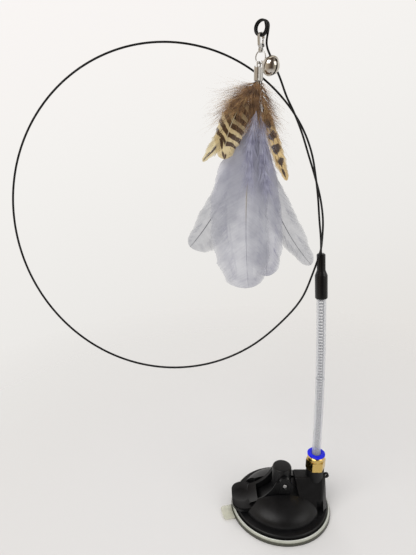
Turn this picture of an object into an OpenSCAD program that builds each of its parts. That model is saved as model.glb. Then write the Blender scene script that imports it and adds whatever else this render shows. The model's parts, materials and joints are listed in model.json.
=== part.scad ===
/* [Suction disc] */
// Outer radius of the suction disc
disc_r = 35; // [32:0.5:40]
// Width of the flat ring that seals on the table
seal_w = 8; // [5:0.5:10]
// Thickness of the disc over the flat ring
disc_t = 2.4; // [2:0.1:3.2]
// Thickness at the disc's outer edge
disc_edge_t = 1.8; // [1.2:0.1:2]
// Height of the hollow under the middle of the disc
hollow_h = 2; // [1.2:0.1:2.6]
// Extra thickness of the disc beside its hub
crown_t = 2.6; // [2:0.1:3.2]
// Wall of rubber round the stem's foot
hub_wall = 2.3; // [1.8:0.1:3]
// Height of the hub above the crown
hub_h = 4.5; // [3.5:0.1:5]
// Width of the pull tab
tab_w = 12; // [8:0.5:16]
// Thickness of the pull tab
tab_t = 1.2; // [0.8:0.1:1.5]
// How far the pull tab stands out of the disc
tab_reach = 8.5; // [5:0.5:12]
// Angle of the pull tab, from the lever towards the front
tab_turn = 11; // [0:1:25]

/* [Housing] */
// How far the disc shows outside the skirt
skirt_inset = 2; // [1:0.1:3]
// Height of the skirt
skirt_h = 3.5; // [2.5:0.1:4]
// Step from the skirt's edge to the dome
dome_step = 4.4; // [3:0.1:5.5]
// Rise of the dome above the skirt
dome_h = 13.2; // [11:0.2:14]
// Height of the cam's floor above the skirt
floor_h = 10.4; // [9.4:0.1:11]
// Height of the block above the skirt
block_h = 22; // [21:0.5:25]
// Half width of the block at its foot
block_foot = 17; // [14:0.5:19]
// Half width of the block at its top
block_head = 5; // [4.5:0.25:7]
// Rounding of the block's edges
block_round = 1.5; // [0.8:0.1:2]
// Height of the round boss above the block
boss_h = 5.5; // [4.5:0.1:6.5]
// Width of the recess in the block's front face
recess_w = 4.9; // [4:0.1:6]
// Height of the recess in the block's front face
recess_h = 8; // [6:0.2:9]
// Depth of the recess in the block's front face
recess_d = 6.5; // [5:0.1:7.5]
// Radius of the lanyard lug's hole
lug_hole_r = 0.8; // [0.5:0.05:1]
// Wall round the lanyard lug's hole
lug_wall = 1.2; // [0.8:0.1:1.6]
// Thickness of the lanyard lug
lug_t = 1.4; // [1:0.1:2]

/* [Stem and lever] */
// Radius of the stem
stem_r = 6.7; // [6:0.1:7.2]
// Height of the stem above its cross pin
stem_head = 10.2; // [9:0.2:11.5]
// Thickness of the stem's foot
foot_t = 1.4; // [1:0.1:1.8]
// Radius of the cross pin
pin_r = 1.55; // [1.2:0.05:1.8]
// Radius of the lever's cam
cam_r = 7; // [6.4:0.1:7.2]
// Half of the drop that the cam gives
cam_throw = 1; // [0.6:0.05:1.1]
// Thickness of each lever cheek
cheek_t = 2; // [1.6:0.1:3]
// Half width of the lever's hub round the cross pin
hub_half = 3.7; // [3:0.1:4.5]
// Width of the paddle
paddle_w = 27; // [24:0.5:28]
// Length of the paddle, along the lever
paddle_l = 17.8; // [15.4:0.2:18.4]
// Rounding of the paddle's corners
paddle_round = 7.5; // [5:0.1:7.6]
// Thickness of the paddle
paddle_t = 3; // [2.4:0.1:3.4]
// Distance from the stem's axis to the paddle's centre
paddle_reach = 26.4; // [25.5:0.1:27.2]
// Depth of the dish in the paddle's top
dish_h = 0.8; // [0.4:0.1:1.2]

/* [Push fitting] */
// Distance from the stem's axis to the fitting's axis
fit_x = 23.6; // [22.5:0.1:24.4]
// Width of the hexagon across its flats
hex_af = 12; // [12:0.1:13]
// Height of the hexagon
hex_h = 7.4; // [6:0.1:8.5]
// Height of the round body above the hexagon
fit_h = 3; // [2.6:0.1:4.5]
// Length of the shank in the block
shank_l = 7.8; // [6:0.1:9]
// Wall of the shank round the tube's end
shank_wall = 1.75; // [1.3:0.05:1.9]
// Travel of the release collar
collar_travel = 0.7; // [0.4:0.05:0.75]
// Height of the release collar's flange
collar_flange_h = 1; // [0.9:0.1:2.5]
// Wall of the release collar's sleeve
collar_wall = 1.4; // [1.1:0.05:1.5]
// Claws on the grip ring
claws = 8; // [6:1:10]

/* [Sprung tube] */
// Outer diameter of the clear tube
tube_od = 6; // [5.6:0.1:6.2]
// Wall of the clear tube
tube_wall = 1; // [0.8:0.05:1.1]
// Length of the clear tube
tube_l = 135.3; // [110:0.5:160]
// Radius of the tube's lean to the left
bend_r = 1780; // [1400:20:2600]
// Wire diameter of the tube's spring
coil_wire = 0.5; // [0.3:0.05:0.6]
// Curls of the tube's spring
coil_turns = 62; // [40:1:66]

/* [Sleeve] */
// Length of the tube that the sleeve covers
sleeve_grip = 8.7; // [6:0.1:12]
// Wall of the sleeve round the tube
sleeve_wall = 0.85; // [0.7:0.05:1.4]
// Length of the thick part of the sleeve
sleeve_body_l = 15; // [13:0.5:18]
// Length of the sleeve's sloping shoulder
shoulder_l = 3.5; // [2:0.1:5]
// Length of the sleeve's neck
neck_l = 10.4; // [8:0.2:13]
// Wall of the neck round the ferrule
neck_wall = 0.65; // [0.5:0.05:1]
// Rounding of the sleeve's lower edge
sleeve_round = 0.7; // [0.3:0.05:0.75]

/* [Wire loop] */
// Diameter of the loop's wire
wire_d = 1.2; // [1:0.05:1.3]
// Mean radius of the big loop
loop_r = 95.3; // [85:0.5:105]
// Angle at which the loop leans back
loop_lean = 12; // [8:0.5:14]
// Mean radius of the eye at the wire's end
eye_r = 3.95; // [3.8:0.05:4.4]
// Distance between the eye's two turns
eye_pitch = 1.65; // [1.6:0.05:1.75]
// Angle at which the eye leans to the left
eye_lean = 16; // [10:1:20]
// Angle through which the eye is turned
eye_turn = 42; // [36:1:46]

/* [Clasp and ring] */
// Inner radius of the clasp's hook
hook_r = 1.9; // [1.8:0.05:2.1]
// Thickness of the hook, across the bend
hook_t = 0.75; // [0.6:0.05:0.9]
// Width of the clasp, through its plate
clasp_w = 1.4; // [1.2:0.05:1.8]
// Depth of the clasp's opening below the hook
throat_h = 3.2; // [3:0.1:3.8]
// Height of the block that holds the gate's pivot
knuckle_h = 2.2; // [2:0.05:2.6]
// Radius of the hole in the clasp's eyelet
eyelet_hole_r = 0.85; // [0.7:0.05:1]
// Wall of the clasp's eyelet
eyelet_wall = 0.6; // [0.5:0.05:0.8]
// Radius of the gate's rivet
rivet_r = 0.3; // [0.25:0.01:0.32]
// Mean radius of the jump ring
ring_r = 3.25; // [3:0.05:3.6]
// Diameter of the jump ring's wire
ring_wire = 0.7; // [0.5:0.05:0.8]

/* [Bell] */
// Outer radius of the bell's shell
bell_r = 4.9; // [4.4:0.05:5.2]
// Thickness of the bell's shell
bell_t = 0.4; // [0.3:0.02:0.5]
// How far the rim stands out at the bell's middle
bell_rim = 0.45; // [0.3:0.05:0.6]
// Width of the slot in the bell
bell_slot = 1; // [0.7:0.05:1.3]
// Radius of the pellet in the bell
pellet_r = 1.5; // [1.2:0.05:1.8]
// Mean radius of the bell's wire loop
bell_loop_r = 1.2; // [1.1:0.05:1.4]
// Angle at which the bell stands off from straight down
bell_tilt = 67; // [60:1:72]
// Angle through which the bell is turned to the front
bell_front = 55; // [45:1:62]

/* [Feathers] */
// Width of the metal cap that holds the quills
cap_w = 5.8; // [5.6:0.1:6.6]
// Depth of the metal cap
cap_d = 3; // [2.9:0.05:3.4]
// Height of the metal cap
cap_h = 6.9; // [6:0.1:8]
// Thickness of the cap's metal
cap_t = 0.35; // [0.25:0.05:0.4]
// Radius of a feather's bare quill
quill_r = 0.33; // [0.25:0.01:0.36]
// Length of the longest grey feather
grey_l = 123.4; // [100:1:130]
// Length of the longest brown feather
brown_l = 58.5; // [50:0.5:62]
// Distance between the layers of feathers
layer_gap = 1.3; // [1.2:0.05:1.6]
// Thickness of a feather's vane
vane_t = 0.5; // [0.35:0.05:0.6]
// How far the edges of a vane curl back
vane_curl = 1.1; // [0.4:0.1:1.4]

/* [Hidden] */

// Clearances: a press seat, a running fit, a loose fit and the overrun of every cut
snug = 0.05;
slide = 0.1;
loose = 0.3;
over = 1;
// Fineness of round forms, and of a form that a hull blends
fine = 96;
blend_fine = 28;

// Disc and stem heights, from the table up
hub_r = stem_r + hub_wall;
crown_z = disc_t + crown_t;
hub_top = crown_z + hub_h;
foot_z = hollow_h + disc_t - slide * 2;
foot_r = hub_r - hub_wall / 2 + slide * 2;
hollow_r = disc_r - seal_w;
skirt_r = disc_r - skirt_inset;
skirt_z = disc_t + slide;
skirt_top = skirt_z + skirt_h;
dome_r = skirt_r - dome_step;

// Lever and cam, seen from the front
floor_z = skirt_top + floor_h;
cam_z = floor_z + loose + cam_r;
pin_x = cam_throw;
pin_z = cam_z + cam_throw;
stem_top = pin_z + stem_head;
cheek_in = stem_r + loose;
cheek_out = cheek_in + cheek_t;
paddle_z = skirt_top + loose * 2;
paddle_top = paddle_z + paddle_t;
hub_out = cheek_out + snug * 8;
channel_half = hub_out + loose * 2;
arm_root = paddle_reach - paddle_l * 0.2;
slot_x = -paddle_reach + paddle_l / 2;

// Push fitting, from the block up
tube_r = tube_od / 2;
tube_in_r = tube_r - tube_wall;
block_top = skirt_top + block_h;
boss_top = block_top + boss_h;
hex_top = boss_top + hex_h;
fit_top = hex_top + fit_h;
collar_bore = tube_r + slide * 1.5;
collar_sleeve_r = collar_bore + collar_wall;
fit_bore_r = collar_sleeve_r + slide;
fit_wall = hex_af / 2 - snug - fit_bore_r;
fit_body_r = fit_bore_r + fit_wall;
shank_r = tube_r + slide + shank_wall;
boss_r = shank_r + snug + shank_wall * 0.8;
tube_seat_z = boss_top + shank_wall * 0.6;
collar_gap = collar_travel + slide;
// Grip ring's thickness, the seal's groove and the radius of its cord
grip_t = 1.4;
seal_h = 2;
seal_cord = 0.85;
ring_seat_z = tube_seat_z + shank_wall / 2 + seal_h + loose * 2;

// Tube, spring and sleeve along the leaning axis; the sleeve's frame starts at the tube's upper end
tube_z = tube_seat_z + slide * 2;
lean_top = tube_l / bend_r * 180 / PI;
coil_r = tube_in_r - coil_wire / 2 - slide * 2;
coil_end = tube_l - sleeve_grip * 0.6;
sleeve_r = tube_r + snug + sleeve_wall;
ferrule_r = tube_in_r - snug;
ferrule_low = -sleeve_grip * 0.52;
ferrule_top = sleeve_body_l - sleeve_grip + shoulder_l + neck_l * 0.2;
ferrule_bore_z = ferrule_top * 0.42;
neck_r = ferrule_r + snug + neck_wall;
sleeve_top = sleeve_body_l - sleeve_grip + shoulder_l + neck_l;

// The wire's plane: right, up the lean, and out of it towards the front
wire_r = wire_d / 2;
right_dir = [1, 0, 0];
up_dir = [0, sin(loop_lean), cos(loop_lean)];
front_dir = [0, -cos(loop_lean), sin(loop_lean)];
// Place of the loop's centre from the sleeve's mouth, in shares of the loop's radius
centre_shares = [-0.9633, 0.2791];
// The loop is a little longer on one diagonal: by this share, at this bearing
oval_share = 0.0216;
oval_bearing = 109.5;
// Route near the crossing strands: bearing, share of the loop's radius, then how far to the front
// in shares of the wire's diameter and in shares of the loop's radius
rising_shares = [
    [-11.5, 0.983, -0.74, 0], [-4.2, 0.953, -0.4, 0], [4, 0.939, 0.5, 0], [12.5, 0.941, 0.74, 0],
    [21, 0.957, 0.45, 0], [30, 0.973, -0.4, 0], [38.1, 0.982, -0.8, 0], [50, 0.9895, -0.3, 0]
];
closing_shares = [
    [-34.1, 1.014, 1, 0], [-23.6, 0.9933, 1.6, 0], [-18.2, 0.987, 2.6, 0], [-14.5, 0.988, 2.1, 0],
    [-11.5, 0.985, 0.9, 0], [-4.2, 0.973, 0.4, 0], [4, 0.957, -0.5, 0], [12.5, 0.941, -0.74, 0],
    [21, 0.938, -0.45, 0], [30, 0.955, 0.4, 0], [38.1, 0.981, 0.8, 0], [42.6, 0.997, 1.6, 0],
    [49.3, 1.045, 0, 0.047], [54.3, 1.079, 0, 0.089], [58.2, 1.12, 0, 0.131],
    [59.3, 1.168, 0, 0.157], [60, 1.2, 0, 0.17]
];
// Bearings of the open part of the loop, and the lengths of the swept pieces in wire diameters
open_from = 62;
open_to = 314;
open_step = 14;
short_step = wire_d * 2.4;
long_step = wire_d * 4.4;
wire_sides = 8;

// Places along the leaning axis, and in the frame of the sleeve
function axis_point(s) =
    let (a = s / bend_r * 180 / PI)
    [fit_x - bend_r * (1 - cos(a)), 0, tube_z + bend_r * sin(a)];
function sleeve_point(x, y, z) =
    axis_point(tube_l) + x * [cos(lean_top), 0, sin(lean_top)] + y * [0, 1, 0]
    + z * [-sin(lean_top), 0, cos(lean_top)];
function unit(v) = v / norm(v);

// Places in the wire's plane
wire_mouth = sleeve_point(0, 0, sleeve_top);
function plane_point(u, v, n) = wire_mouth + u * right_dir + v * up_dir + n * front_dir;
function polar_point(bearing, share, front) =
    plane_point(loop_r * (centre_shares[0] + share * cos(bearing)),
        loop_r * (centre_shares[1] + share * sin(bearing)), front);
function row_point(row) = polar_point(row[0], row[1], row[2] * wire_d + row[3] * loop_r);
function open_share(bearing) = 1 + oval_share * cos(2 * (bearing - oval_bearing));

// Eye at the wire's end: its start, the way in, the way across and its own axis
eye_start = row_point(closing_shares[len(closing_shares) - 1]);
eye_in = cos(eye_lean) * up_dir - sin(eye_lean) * right_dir;
eye_side = cos(eye_lean) * right_dir + sin(eye_lean) * up_dir;
eye_axis = cos(eye_turn) * front_dir - sin(eye_turn) * eye_side;
eye_out = cos(eye_turn) * eye_side + sin(eye_turn) * front_dir;
eye_turns = 2;
eye_rings = 16;
function eye_point(turn) =
    eye_start - eye_out * eye_r * (1 - cos(turn)) + eye_in * eye_r * sin(turn)
    + eye_axis * eye_pitch * turn / 360;
eye_low_turn = atan2(eye_in[2], eye_out[2]) + 180;
eye_low = (eye_point(eye_low_turn) + eye_point(eye_low_turn + 360)) / 2;
eye_end_turn = 360 * eye_turns;
eye_tangent = unit(eye_point(eye_end_turn) - eye_point(eye_end_turn - 1));

// Curve through chosen points: each stretch is a cubic whose slopes come from the points beside it
function chord(points, i) = norm(points[i + 1] - points[i]);
function slope(points, i) =
    i == 0 ? (points[1] - points[0]) / chord(points, 0)
    : i == len(points) - 1 ? (points[i] - points[i - 1]) / chord(points, i - 1)
    : let (before = chord(points, i - 1), after = chord(points, i))
        ((points[i] - points[i - 1]) * after / before + (points[i + 1] - points[i]) * before / after)
        / (before + after);
function stretch_point(points, i, t) =
    let (size = chord(points, i), near = slope(points, i) * size, far = slope(points, i + 1) * size)
    points[i] * (2 * t * t * t - 3 * t * t + 1) + near * (t * t * t - 2 * t * t + t)
    + points[i + 1] * (3 * t * t - 2 * t * t * t) + far * (t * t * t - t * t);

// The wire's whole route: straight out of the ferrule, up the crossing strands, round the open loop,
// back through the crossing and into the eye
tail_points = [
    for (share = [0, 0.5, 0.9, 1]) sleeve_point(0, 0,
        ferrule_bore_z + loose + (sleeve_top + wire_d - ferrule_bore_z - loose) * share)
];
open_points = [
    for (b = [open_from:open_step:open_to]) polar_point(b, open_share(b), 0)
];
wire_rows = concat(tail_points, [for (row = rising_shares) row_point(row)], open_points,
    [for (row = closing_shares) row_point(row)]);
function wire_stretch(i) =
    i > len(tail_points) + len(rising_shares)
    && i < len(tail_points) + len(rising_shares) + len(open_points) ? long_step : short_step;
wire_curve = [for (i = [0:len(wire_rows) - 2])
    let (pieces = max(1, round(chord(wire_rows, i) / wire_stretch(i))))
    for (j = [0:pieces - 1]) stretch_point(wire_rows, i, j / pieces)];
eye_curve = [for (i = [0:eye_turns * eye_rings]) eye_point(i * 360 / eye_rings)];
wire_path = concat(wire_curve, eye_curve, [eye_point(eye_end_turn) + eye_tangent * wire_d]);

// The chain hangs in a frame of its own: x along the pins that it swings on, z up
chain_turn = atan2(eye_axis[1], eye_axis[0]) + 90;
chain_x = [cos(chain_turn), sin(chain_turn), 0];
chain_y = [-sin(chain_turn), cos(chain_turn), 0];
hook_drop = sqrt(pow(hook_r - wire_r - slide * 1.5, 2) - pow(eye_pitch / 2, 2));
hook_point = eye_low - [0, 0, hook_drop];
eyelet_z = -throat_h - knuckle_h - eyelet_hole_r;
eyelet_r = eyelet_hole_r + eyelet_wall;
ring_wire_r = ring_wire / 2;
ring_hang = eyelet_z - eyelet_hole_r + ring_wire_r + slide;
ring_swing_point = hook_point + [0, 0, ring_hang];
ring_point = ring_swing_point - [0, 0, ring_r];
function on_ring(turn) = ring_point + ring_r * (sin(turn) * chain_x - [0, 0, cos(turn)]);
cap_turn = -20;
bell_turn = 35;
cap_point = on_ring(cap_turn);
bell_point = on_ring(bell_turn);

// Clasp outline, with its gate on the far side
hook_out = hook_r + hook_t;
knuckle_half = hook_r;
gate_gap = 0.15;
gate_w = hook_t * 0.95;
gate_t = clasp_w * 0.45;
gate_pivot = [hook_r - rivet_r, -throat_h - knuckle_h * 0.45];
gate_top = -hook_r * 0.3;

// Cap and quills, hung on the ring; the cap's loop is a flat eye above its tube
cap_eye_r = ring_wire_r * 3.4;
cap_eye_wall = ring_wire * 0.9;
cap_eye_z = -(cap_eye_r - ring_wire_r - slide * 2);
cap_top = cap_eye_z - cap_eye_r - cap_eye_wall * 0.6;
cap_low = cap_top - cap_h;
quill_top = cap_top - cap_t * 2;
quill_step_x = (cap_d - cap_t * 2) / 2 - quill_r - slide;
quill_step_y = ((cap_w - cap_t * 2) / 2 - quill_r - slide) / 1.5;
mouth_point = cap_point + [0, 0, cap_low];

// Feathers: first and last angle to the right of straight down, length, widths to the left and to the
// right, the bare share of the quill, the layer counted to the back, and the place in the cap
grey_shares = [
    [-9.2, 5.7, 1, 0.178, 0.1, 0.2, -0.4, 2, 0],
    [6.4, 2.8, 0.947, 0.09, 0.089, 0.28, 0.6, 2, 1],
    [-5.7, -39.8, 0.855, 0.076, 0.128, 0.3, 1.6, 1, 1],
    [-3.7, 42.1, 0.978, 0.056, 0.078, 0.3, 2.6, 3, 1]
];
brown_shares = [
    [-49.7, -2.2, 0.82, 0.125, 0.15, 0.16, -2.4, 0, 0],
    [-32.1, -41.8, 0.935, 0.08, 0.085, 0.2, -1.4, 1, 0],
    [13.8, 23.9, 1, 0.075, 0.085, 0.2, -1.4, 3, 0],
    [-12, 6, 0.7, 0.24, 0.24, 0.2, 3.6, 0, 1]
];
vane_rings = 14;
bend_share = 0.06;
settle_share = 0.3;
quill_steps = 24;

// A feather's middle line: the angle grows from straight down in the cap, and each step adds to the last
function feather_angle(row, t) =
    (row[0] + (row[1] - row[0]) * t) * min(1, t / bend_share);
function feather_steps(row, size) =
    [for (i = 0, at = [0, 0]; i <= quill_steps;
        at = at + size / quill_steps
            * [sin(feather_angle(row, (i + 0.5) / quill_steps)),
            -cos(feather_angle(row, (i + 0.5) / quill_steps))],
        i = i + 1) at];
function feather_at(steps, t) =
    let (place = t * quill_steps, low = min(quill_steps - 1, floor(place)))
    steps[low] + (steps[low + 1] - steps[low]) * (place - low);
function settled(t) =
    let (k = min(1, t / settle_share)) k * k * (3 - 2 * k);
function quill_place(row) =
    (1 - row[8] * 2) * quill_step_x * chain_x + (row[7] - 1.5) * quill_step_y * chain_y;

// Width of a vane along its length: it swells soon after the bare quill and ends round
function vane_share(t) = pow(max(0, sin(180 * pow(t, 1.12))), 0.5);

// One ring of eight points round a feather: edge, back, edge and front
function feather_ring(centre, angle, left, right, thick, curl) =
    let (across = [cos(angle), 0, sin(angle)], back = [0, 1, 0])
    [
        centre - across * left + back * curl * left,
        centre - across * left * 0.6 + back * (curl * left * 0.4 + thick),
        centre + back * quill_r,
        centre + across * right * 0.6 + back * (curl * right * 0.4 + thick),
        centre + across * right + back * curl * right,
        centre + across * right * 0.6 + back * (curl * right * 0.4 - thick),
        centre - back * quill_r,
        centre - across * left * 0.6 + back * (curl * left * 0.4 - thick)
    ];

function feather_rings(row, longest) =
    let (
        size = longest * row[2],
        steps = feather_steps(row, size),
        start = quill_place(row),
        goal = [0, row[6] * layer_gap, 0],
        stations = concat([0.02, row[5] * 0.35, row[5] * 0.7], [for (i = [0:vane_rings])
            row[5] + (1 - row[5]) * (1 - pow(1 - i / vane_rings, 1.25))])
    )
    concat(
        [for (z = [quill_top, cap_low])
            feather_ring(cap_point + start + [0, 0, z], 0, quill_r, quill_r, quill_r * 0.8, 0)],
        [for (t = stations)
            let (
                flat = feather_at(steps, t),
                vane = (t - row[5]) / (1 - row[5]),
                grown = vane <= 0 ? 0 : vane_share(vane),
                left = quill_r + size * row[3] * grown,
                right = quill_r + size * row[4] * grown,
                k = settled(t)
            )
            feather_ring(mouth_point + start * (1 - k) + goal * k + [flat[0], 0, flat[1]],
                feather_angle(row, t), left, right,
                grown > 0 ? vane_t / 2 : quill_r * 0.8, vane_curl / (longest * 0.18) * min(1, grown * 2))]
    );

// A tube or a feather from its rings: triangles between neighbours, and a fan at each end
module skinned(rings) {
    sides = len(rings[0]);
    last = len(rings) - 1;
    points = concat([for (ring = rings) each ring],
        [[for (i = [0:2]) mean_of([for (p = rings[0]) p[i]])],
            [for (i = [0:2]) mean_of([for (p = rings[last]) p[i]])]]);
    walls = [for (r = [0:last - 1]) for (k = [0:sides - 1])
        let (a = r * sides + k, b = r * sides + (k + 1) % sides)
        each [[a, a + sides, b], [b, a + sides, b + sides]]];
    first_fan = [for (k = [0:sides - 1]) [(last + 1) * sides, k, (k + 1) % sides]];
    last_fan = [for (k = [0:sides - 1])
        [(last + 1) * sides + 1, last * sides + (k + 1) % sides, last * sides + k]];
    polyhedron(points = points, faces = concat(first_fan, walls, last_fan), convexity = 8);
}

function total(list, i = 0) = i >= len(list) ? 0 : list[i] + total(list, i + 1);
function mean_of(list) = total(list) / len(list);

// Rings of a tube round a path, all set out from one reference direction
function tube_rings(path, radius, sides, reference) =
    [for (i = [0:len(path) - 1])
        let (
            along = unit(path[min(i + 1, len(path) - 1)] - path[max(i - 1, 0)]),
            first = unit(cross(reference, along)),
            second = cross(along, first)
        )
        [for (k = [0:sides - 1])
            path[i] + radius * (cos(360 * k / sides) * first + sin(360 * k / sides) * second)]];

// Least distance between the surfaces of stretches of a tube that are some steps apart
function least_gap(path, thickness, apart) =
    min([for (i = [0:len(path) - 1 - apart]) for (j = [i + apart:len(path) - 1])
        norm(path[i] - path[j])]) - thickness;

module at_mast_top() {
    translate(axis_point(tube_l))
    rotate([0, -lean_top, 0])
    children();
}

module in_chain(point) {
    translate(point)
    rotate([0, 0, chain_turn])
    children();
}

module ring_section(outer, inner, height) {
    difference() {
        cylinder(h = height, r = outer, $fn = fine);
        translate([0, 0, -over])
        cylinder(h = height + over * 2, r = inner, $fn = fine);
    }
}

module torus(mean, section) {
    rotate_extrude($fn = fine)
    translate([mean, 0])
    circle(r = section, $fn = fine / 3);
}

module suction_disc() {
    hollow_curve = [for (a = [180:-15:0]) [hollow_r * a / 180, hollow_h * (1 + cos(a)) / 2]];
    color("gainsboro")
    difference() {
        union() {
            rotate_extrude($fn = fine)
            polygon(concat(hollow_curve, [
                [0, hub_top], [hub_r, hub_top], [hub_r, crown_z], [hub_r + over, crown_z],
                [hollow_r, disc_t], [skirt_r, disc_t], [disc_r, disc_edge_t], [disc_r, 0]
            ]));
            rotate([0, 0, tab_turn])
            translate([0, 0, disc_edge_t - tab_t])
            linear_extrude(tab_t)
            difference() {
                translate([-disc_r - tab_reach / 4, 0])
                rounded_box(tab_reach * 1.5, tab_w, tab_w / 7);
                circle(r = disc_r - over, $fn = fine);
            }
        }
        translate([0, 0, foot_z - slide])
        cylinder(h = foot_t + slide * 2, r = foot_r + slide, $fn = fine);
        translate([0, 0, foot_z])
        cylinder(h = hub_top, r = stem_r + slide, $fn = fine);
    }
}

module stem() {
    edge = foot_t;
    color("#161618")
    difference() {
        rotate_extrude($fn = fine)
        polygon(concat(
            [[0, foot_z], [foot_r, foot_z], [foot_r, foot_z + foot_t], [stem_r, foot_z + foot_t]],
            [for (a = [0:15:90]) [stem_r - edge * (1 - cos(a)), stem_top - edge * (1 - sin(a))]],
            [[0, stem_top]]
        ));
        translate([pin_x, 0, pin_z])
        rotate([90, 0, 0])
        cylinder(h = stem_r * 2 + over * 2, r = pin_r + snug, center = true, $fn = fine);
    }
}

module lever_pin() {
    half = hub_out - snug * 2;
    bevel = pin_r / 4;
    color("silver")
    translate([pin_x, half, pin_z])
    rotate([90, 0, 0])
    rotate_extrude($fn = fine)
    polygon([
        [0, 0], [pin_r - bevel, 0], [pin_r, bevel], [pin_r, half * 2 - bevel],
        [pin_r - bevel, half * 2], [0, half * 2]
    ]);
}

// Side view of one cheek: the cam below, the hub above it, and the arm that runs down to the paddle
module cheek_outline() {
    polygon(concat(
        [for (a = [250:10:370]) [cam_r * cos(a), cam_z + cam_r * sin(a)]],
        hub_curve(),
        [
            [-cam_r * 1.25, pin_z + pin_r * 1.15], [-arm_root, paddle_top + paddle_t * 0.4],
            [-arm_root - pin_r, paddle_top - dish_h], [-arm_root - pin_r, paddle_z + paddle_t / 2],
            [slot_x, paddle_z + paddle_t / 2], [slot_x + paddle_l * 0.3, paddle_top + pin_r],
            [-cam_r * 0.85, cam_z - cam_r - paddle_t * 0.2]
        ]
    ));
}

// The hub's round top, from the right to the left
function hub_curve() =
    [for (a = [0:15:180]) [pin_x + hub_half * cos(a), pin_z + hub_half * (0.8 + sin(a))]];

// The paddle from above, grown by a margin
module paddle_outline(margin) {
    translate([-paddle_reach, 0])
    rounded_box(paddle_l + margin * 2, paddle_w + margin * 2, paddle_round + margin);
}

module lever() {
    edge = paddle_t * 0.2;
    color("#161618")
    difference() {
        union() {
            for (side = [-1, 1])
            translate([0, side * (cheek_in + cheek_t / 2), 0])
            rotate([90, 0, 0])
            linear_extrude(cheek_t, center = true)
            cheek_outline();
            for (side = [-1, 1])
            translate([0, side * (cheek_in + hub_out) / 2, 0])
            rotate([90, 0, 0])
            linear_extrude(hub_out - cheek_in, center = true)
            polygon(concat(
                [[pin_x - hub_half, cam_z - cam_r * 0.7], [pin_x + hub_half, cam_z - cam_r * 0.7]],
                hub_curve()
            ));
            rotate([90, 0, 0])
            linear_extrude(cheek_in * 2 + slide, center = true)
            polygon([
                [-arm_root - pin_r, paddle_top - dish_h], [slot_x, paddle_z + paddle_t / 2],
                [slot_x, paddle_top + paddle_t * 1.5], [-arm_root, paddle_top + paddle_t * 0.4]
            ]);
            translate([0, 0, paddle_z])
            linear_extrude(paddle_t - edge)
            paddle_outline(-edge);
            translate([0, 0, paddle_z + edge])
            linear_extrude(paddle_t - edge * 2)
            paddle_outline(0);
            translate([0, 0, paddle_z + edge])
            linear_extrude(paddle_t - edge)
            paddle_outline(-edge);
        }
        translate([slot_x, -cheek_in, 0])
        cube([paddle_reach * 2, cheek_in * 2, stem_top * 2]);
        translate([pin_x, 0, pin_z])
        rotate([90, 0, 0])
        cylinder(h = hub_out * 2 + over * 2, r = pin_r + snug, center = true, $fn = fine);
        translate([-paddle_reach - paddle_t, 0, paddle_top + paddle_w - dish_h])
        sphere(r = paddle_w, $fn = fine);
    }
}

// Side view of the space that the lever and its cam need in the dome
module channel_outline() {
    left = -disc_r - over;
    polygon([
        [left, skirt_top], [slot_x - pin_r, skirt_top],
        [-cam_r - pin_r, floor_z - pin_r * 2.7], [-cam_r * 0.6, floor_z],
        [cam_r + pin_r * 2.7, floor_z], [cam_r + pin_r * 2.7, stem_top * 2], [left, stem_top * 2]
    ]);
}

module block() {
    inner = cam_r + block_round * 2;
    outer = fit_x + boss_r;
    foot = [
        [inner + block_round * 3.5, block_foot - block_round],
        [fit_x + block_round, block_foot - block_round],
        [outer, block_foot / 2]
    ];
    head = [
        [inner, block_head - block_round],
        [fit_x + block_foot / 4, block_head - block_round],
        [outer - block_round / 2, block_head / 2]
    ];
    hull() {
        for (side = [-1, 1]) {
            for (p = foot)
            translate([p[0], side * p[1], skirt_z])
            cylinder(h = skirt_h, r = block_round, $fn = blend_fine);
            for (p = head)
            translate([p[0], side * p[1], block_top - block_round])
            sphere(r = block_round, $fn = blend_fine);
        }
    }
}

lug_point = [fit_x + boss_r + lug_hole_r * 1.25, -lug_t * 1.8, block_top + lug_hole_r * 0.8];

module housing() {
    dome_curve = [for (a = [0:7.5:90]) [dome_r * cos(a), skirt_top + dome_h * sin(a)]];
    cavity_top = hub_top + hollow_h + slide;
    color("#161618")
    difference() {
        union() {
            difference() {
                rotate_extrude($fn = fine)
                polygon(concat([[0, skirt_z], [skirt_r, skirt_z], [skirt_r, skirt_top - snug * 8],
                    [skirt_r - snug * 8, skirt_top]], dome_curve));
                rotate([90, 0, 0])
                linear_extrude(channel_half * 2, center = true)
                channel_outline();
                translate([0, 0, skirt_top])
                linear_extrude(dome_h * 2)
                paddle_outline(loose * 2);
            }
            block();
            translate([fit_x, 0, block_top - block_round * 2])
            cylinder(h = boss_h + block_round * 2, r = boss_r, $fn = fine);
            translate([lug_point[0], lug_point[1] + lug_t / 2, lug_point[2]])
            rotate([90, 0, 0])
            cylinder(h = lug_t, r = lug_hole_r + lug_wall, $fn = fine);
        }
        rotate_extrude($fn = fine)
        polygon([
            [0, -over], [hollow_r, -over], [hollow_r, skirt_z],
            [hub_r + over, crown_z + slide * 5], [hub_r + loose * 2, crown_z + slide * 5],
            [hub_r + loose * 2, cavity_top], [0, cavity_top]
        ]);
        cylinder(h = stem_top, r = stem_r + slide, $fn = fine);
        translate([fit_x, 0, boss_top - shank_l - slide])
        cylinder(h = boss_h + shank_l + over, r = shank_r + snug, $fn = fine);
        translate([lug_point[0], lug_point[1] + lug_t, lug_point[2]])
        rotate([90, 0, 0])
        cylinder(h = lug_t * 2, r = lug_hole_r, $fn = fine);
        translate([fit_x - recess_w * 0.1, -block_foot - over, skirt_top + recess_h * 0.05])
        cube([recess_w, over + recess_d, recess_h]);
    }
}

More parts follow.
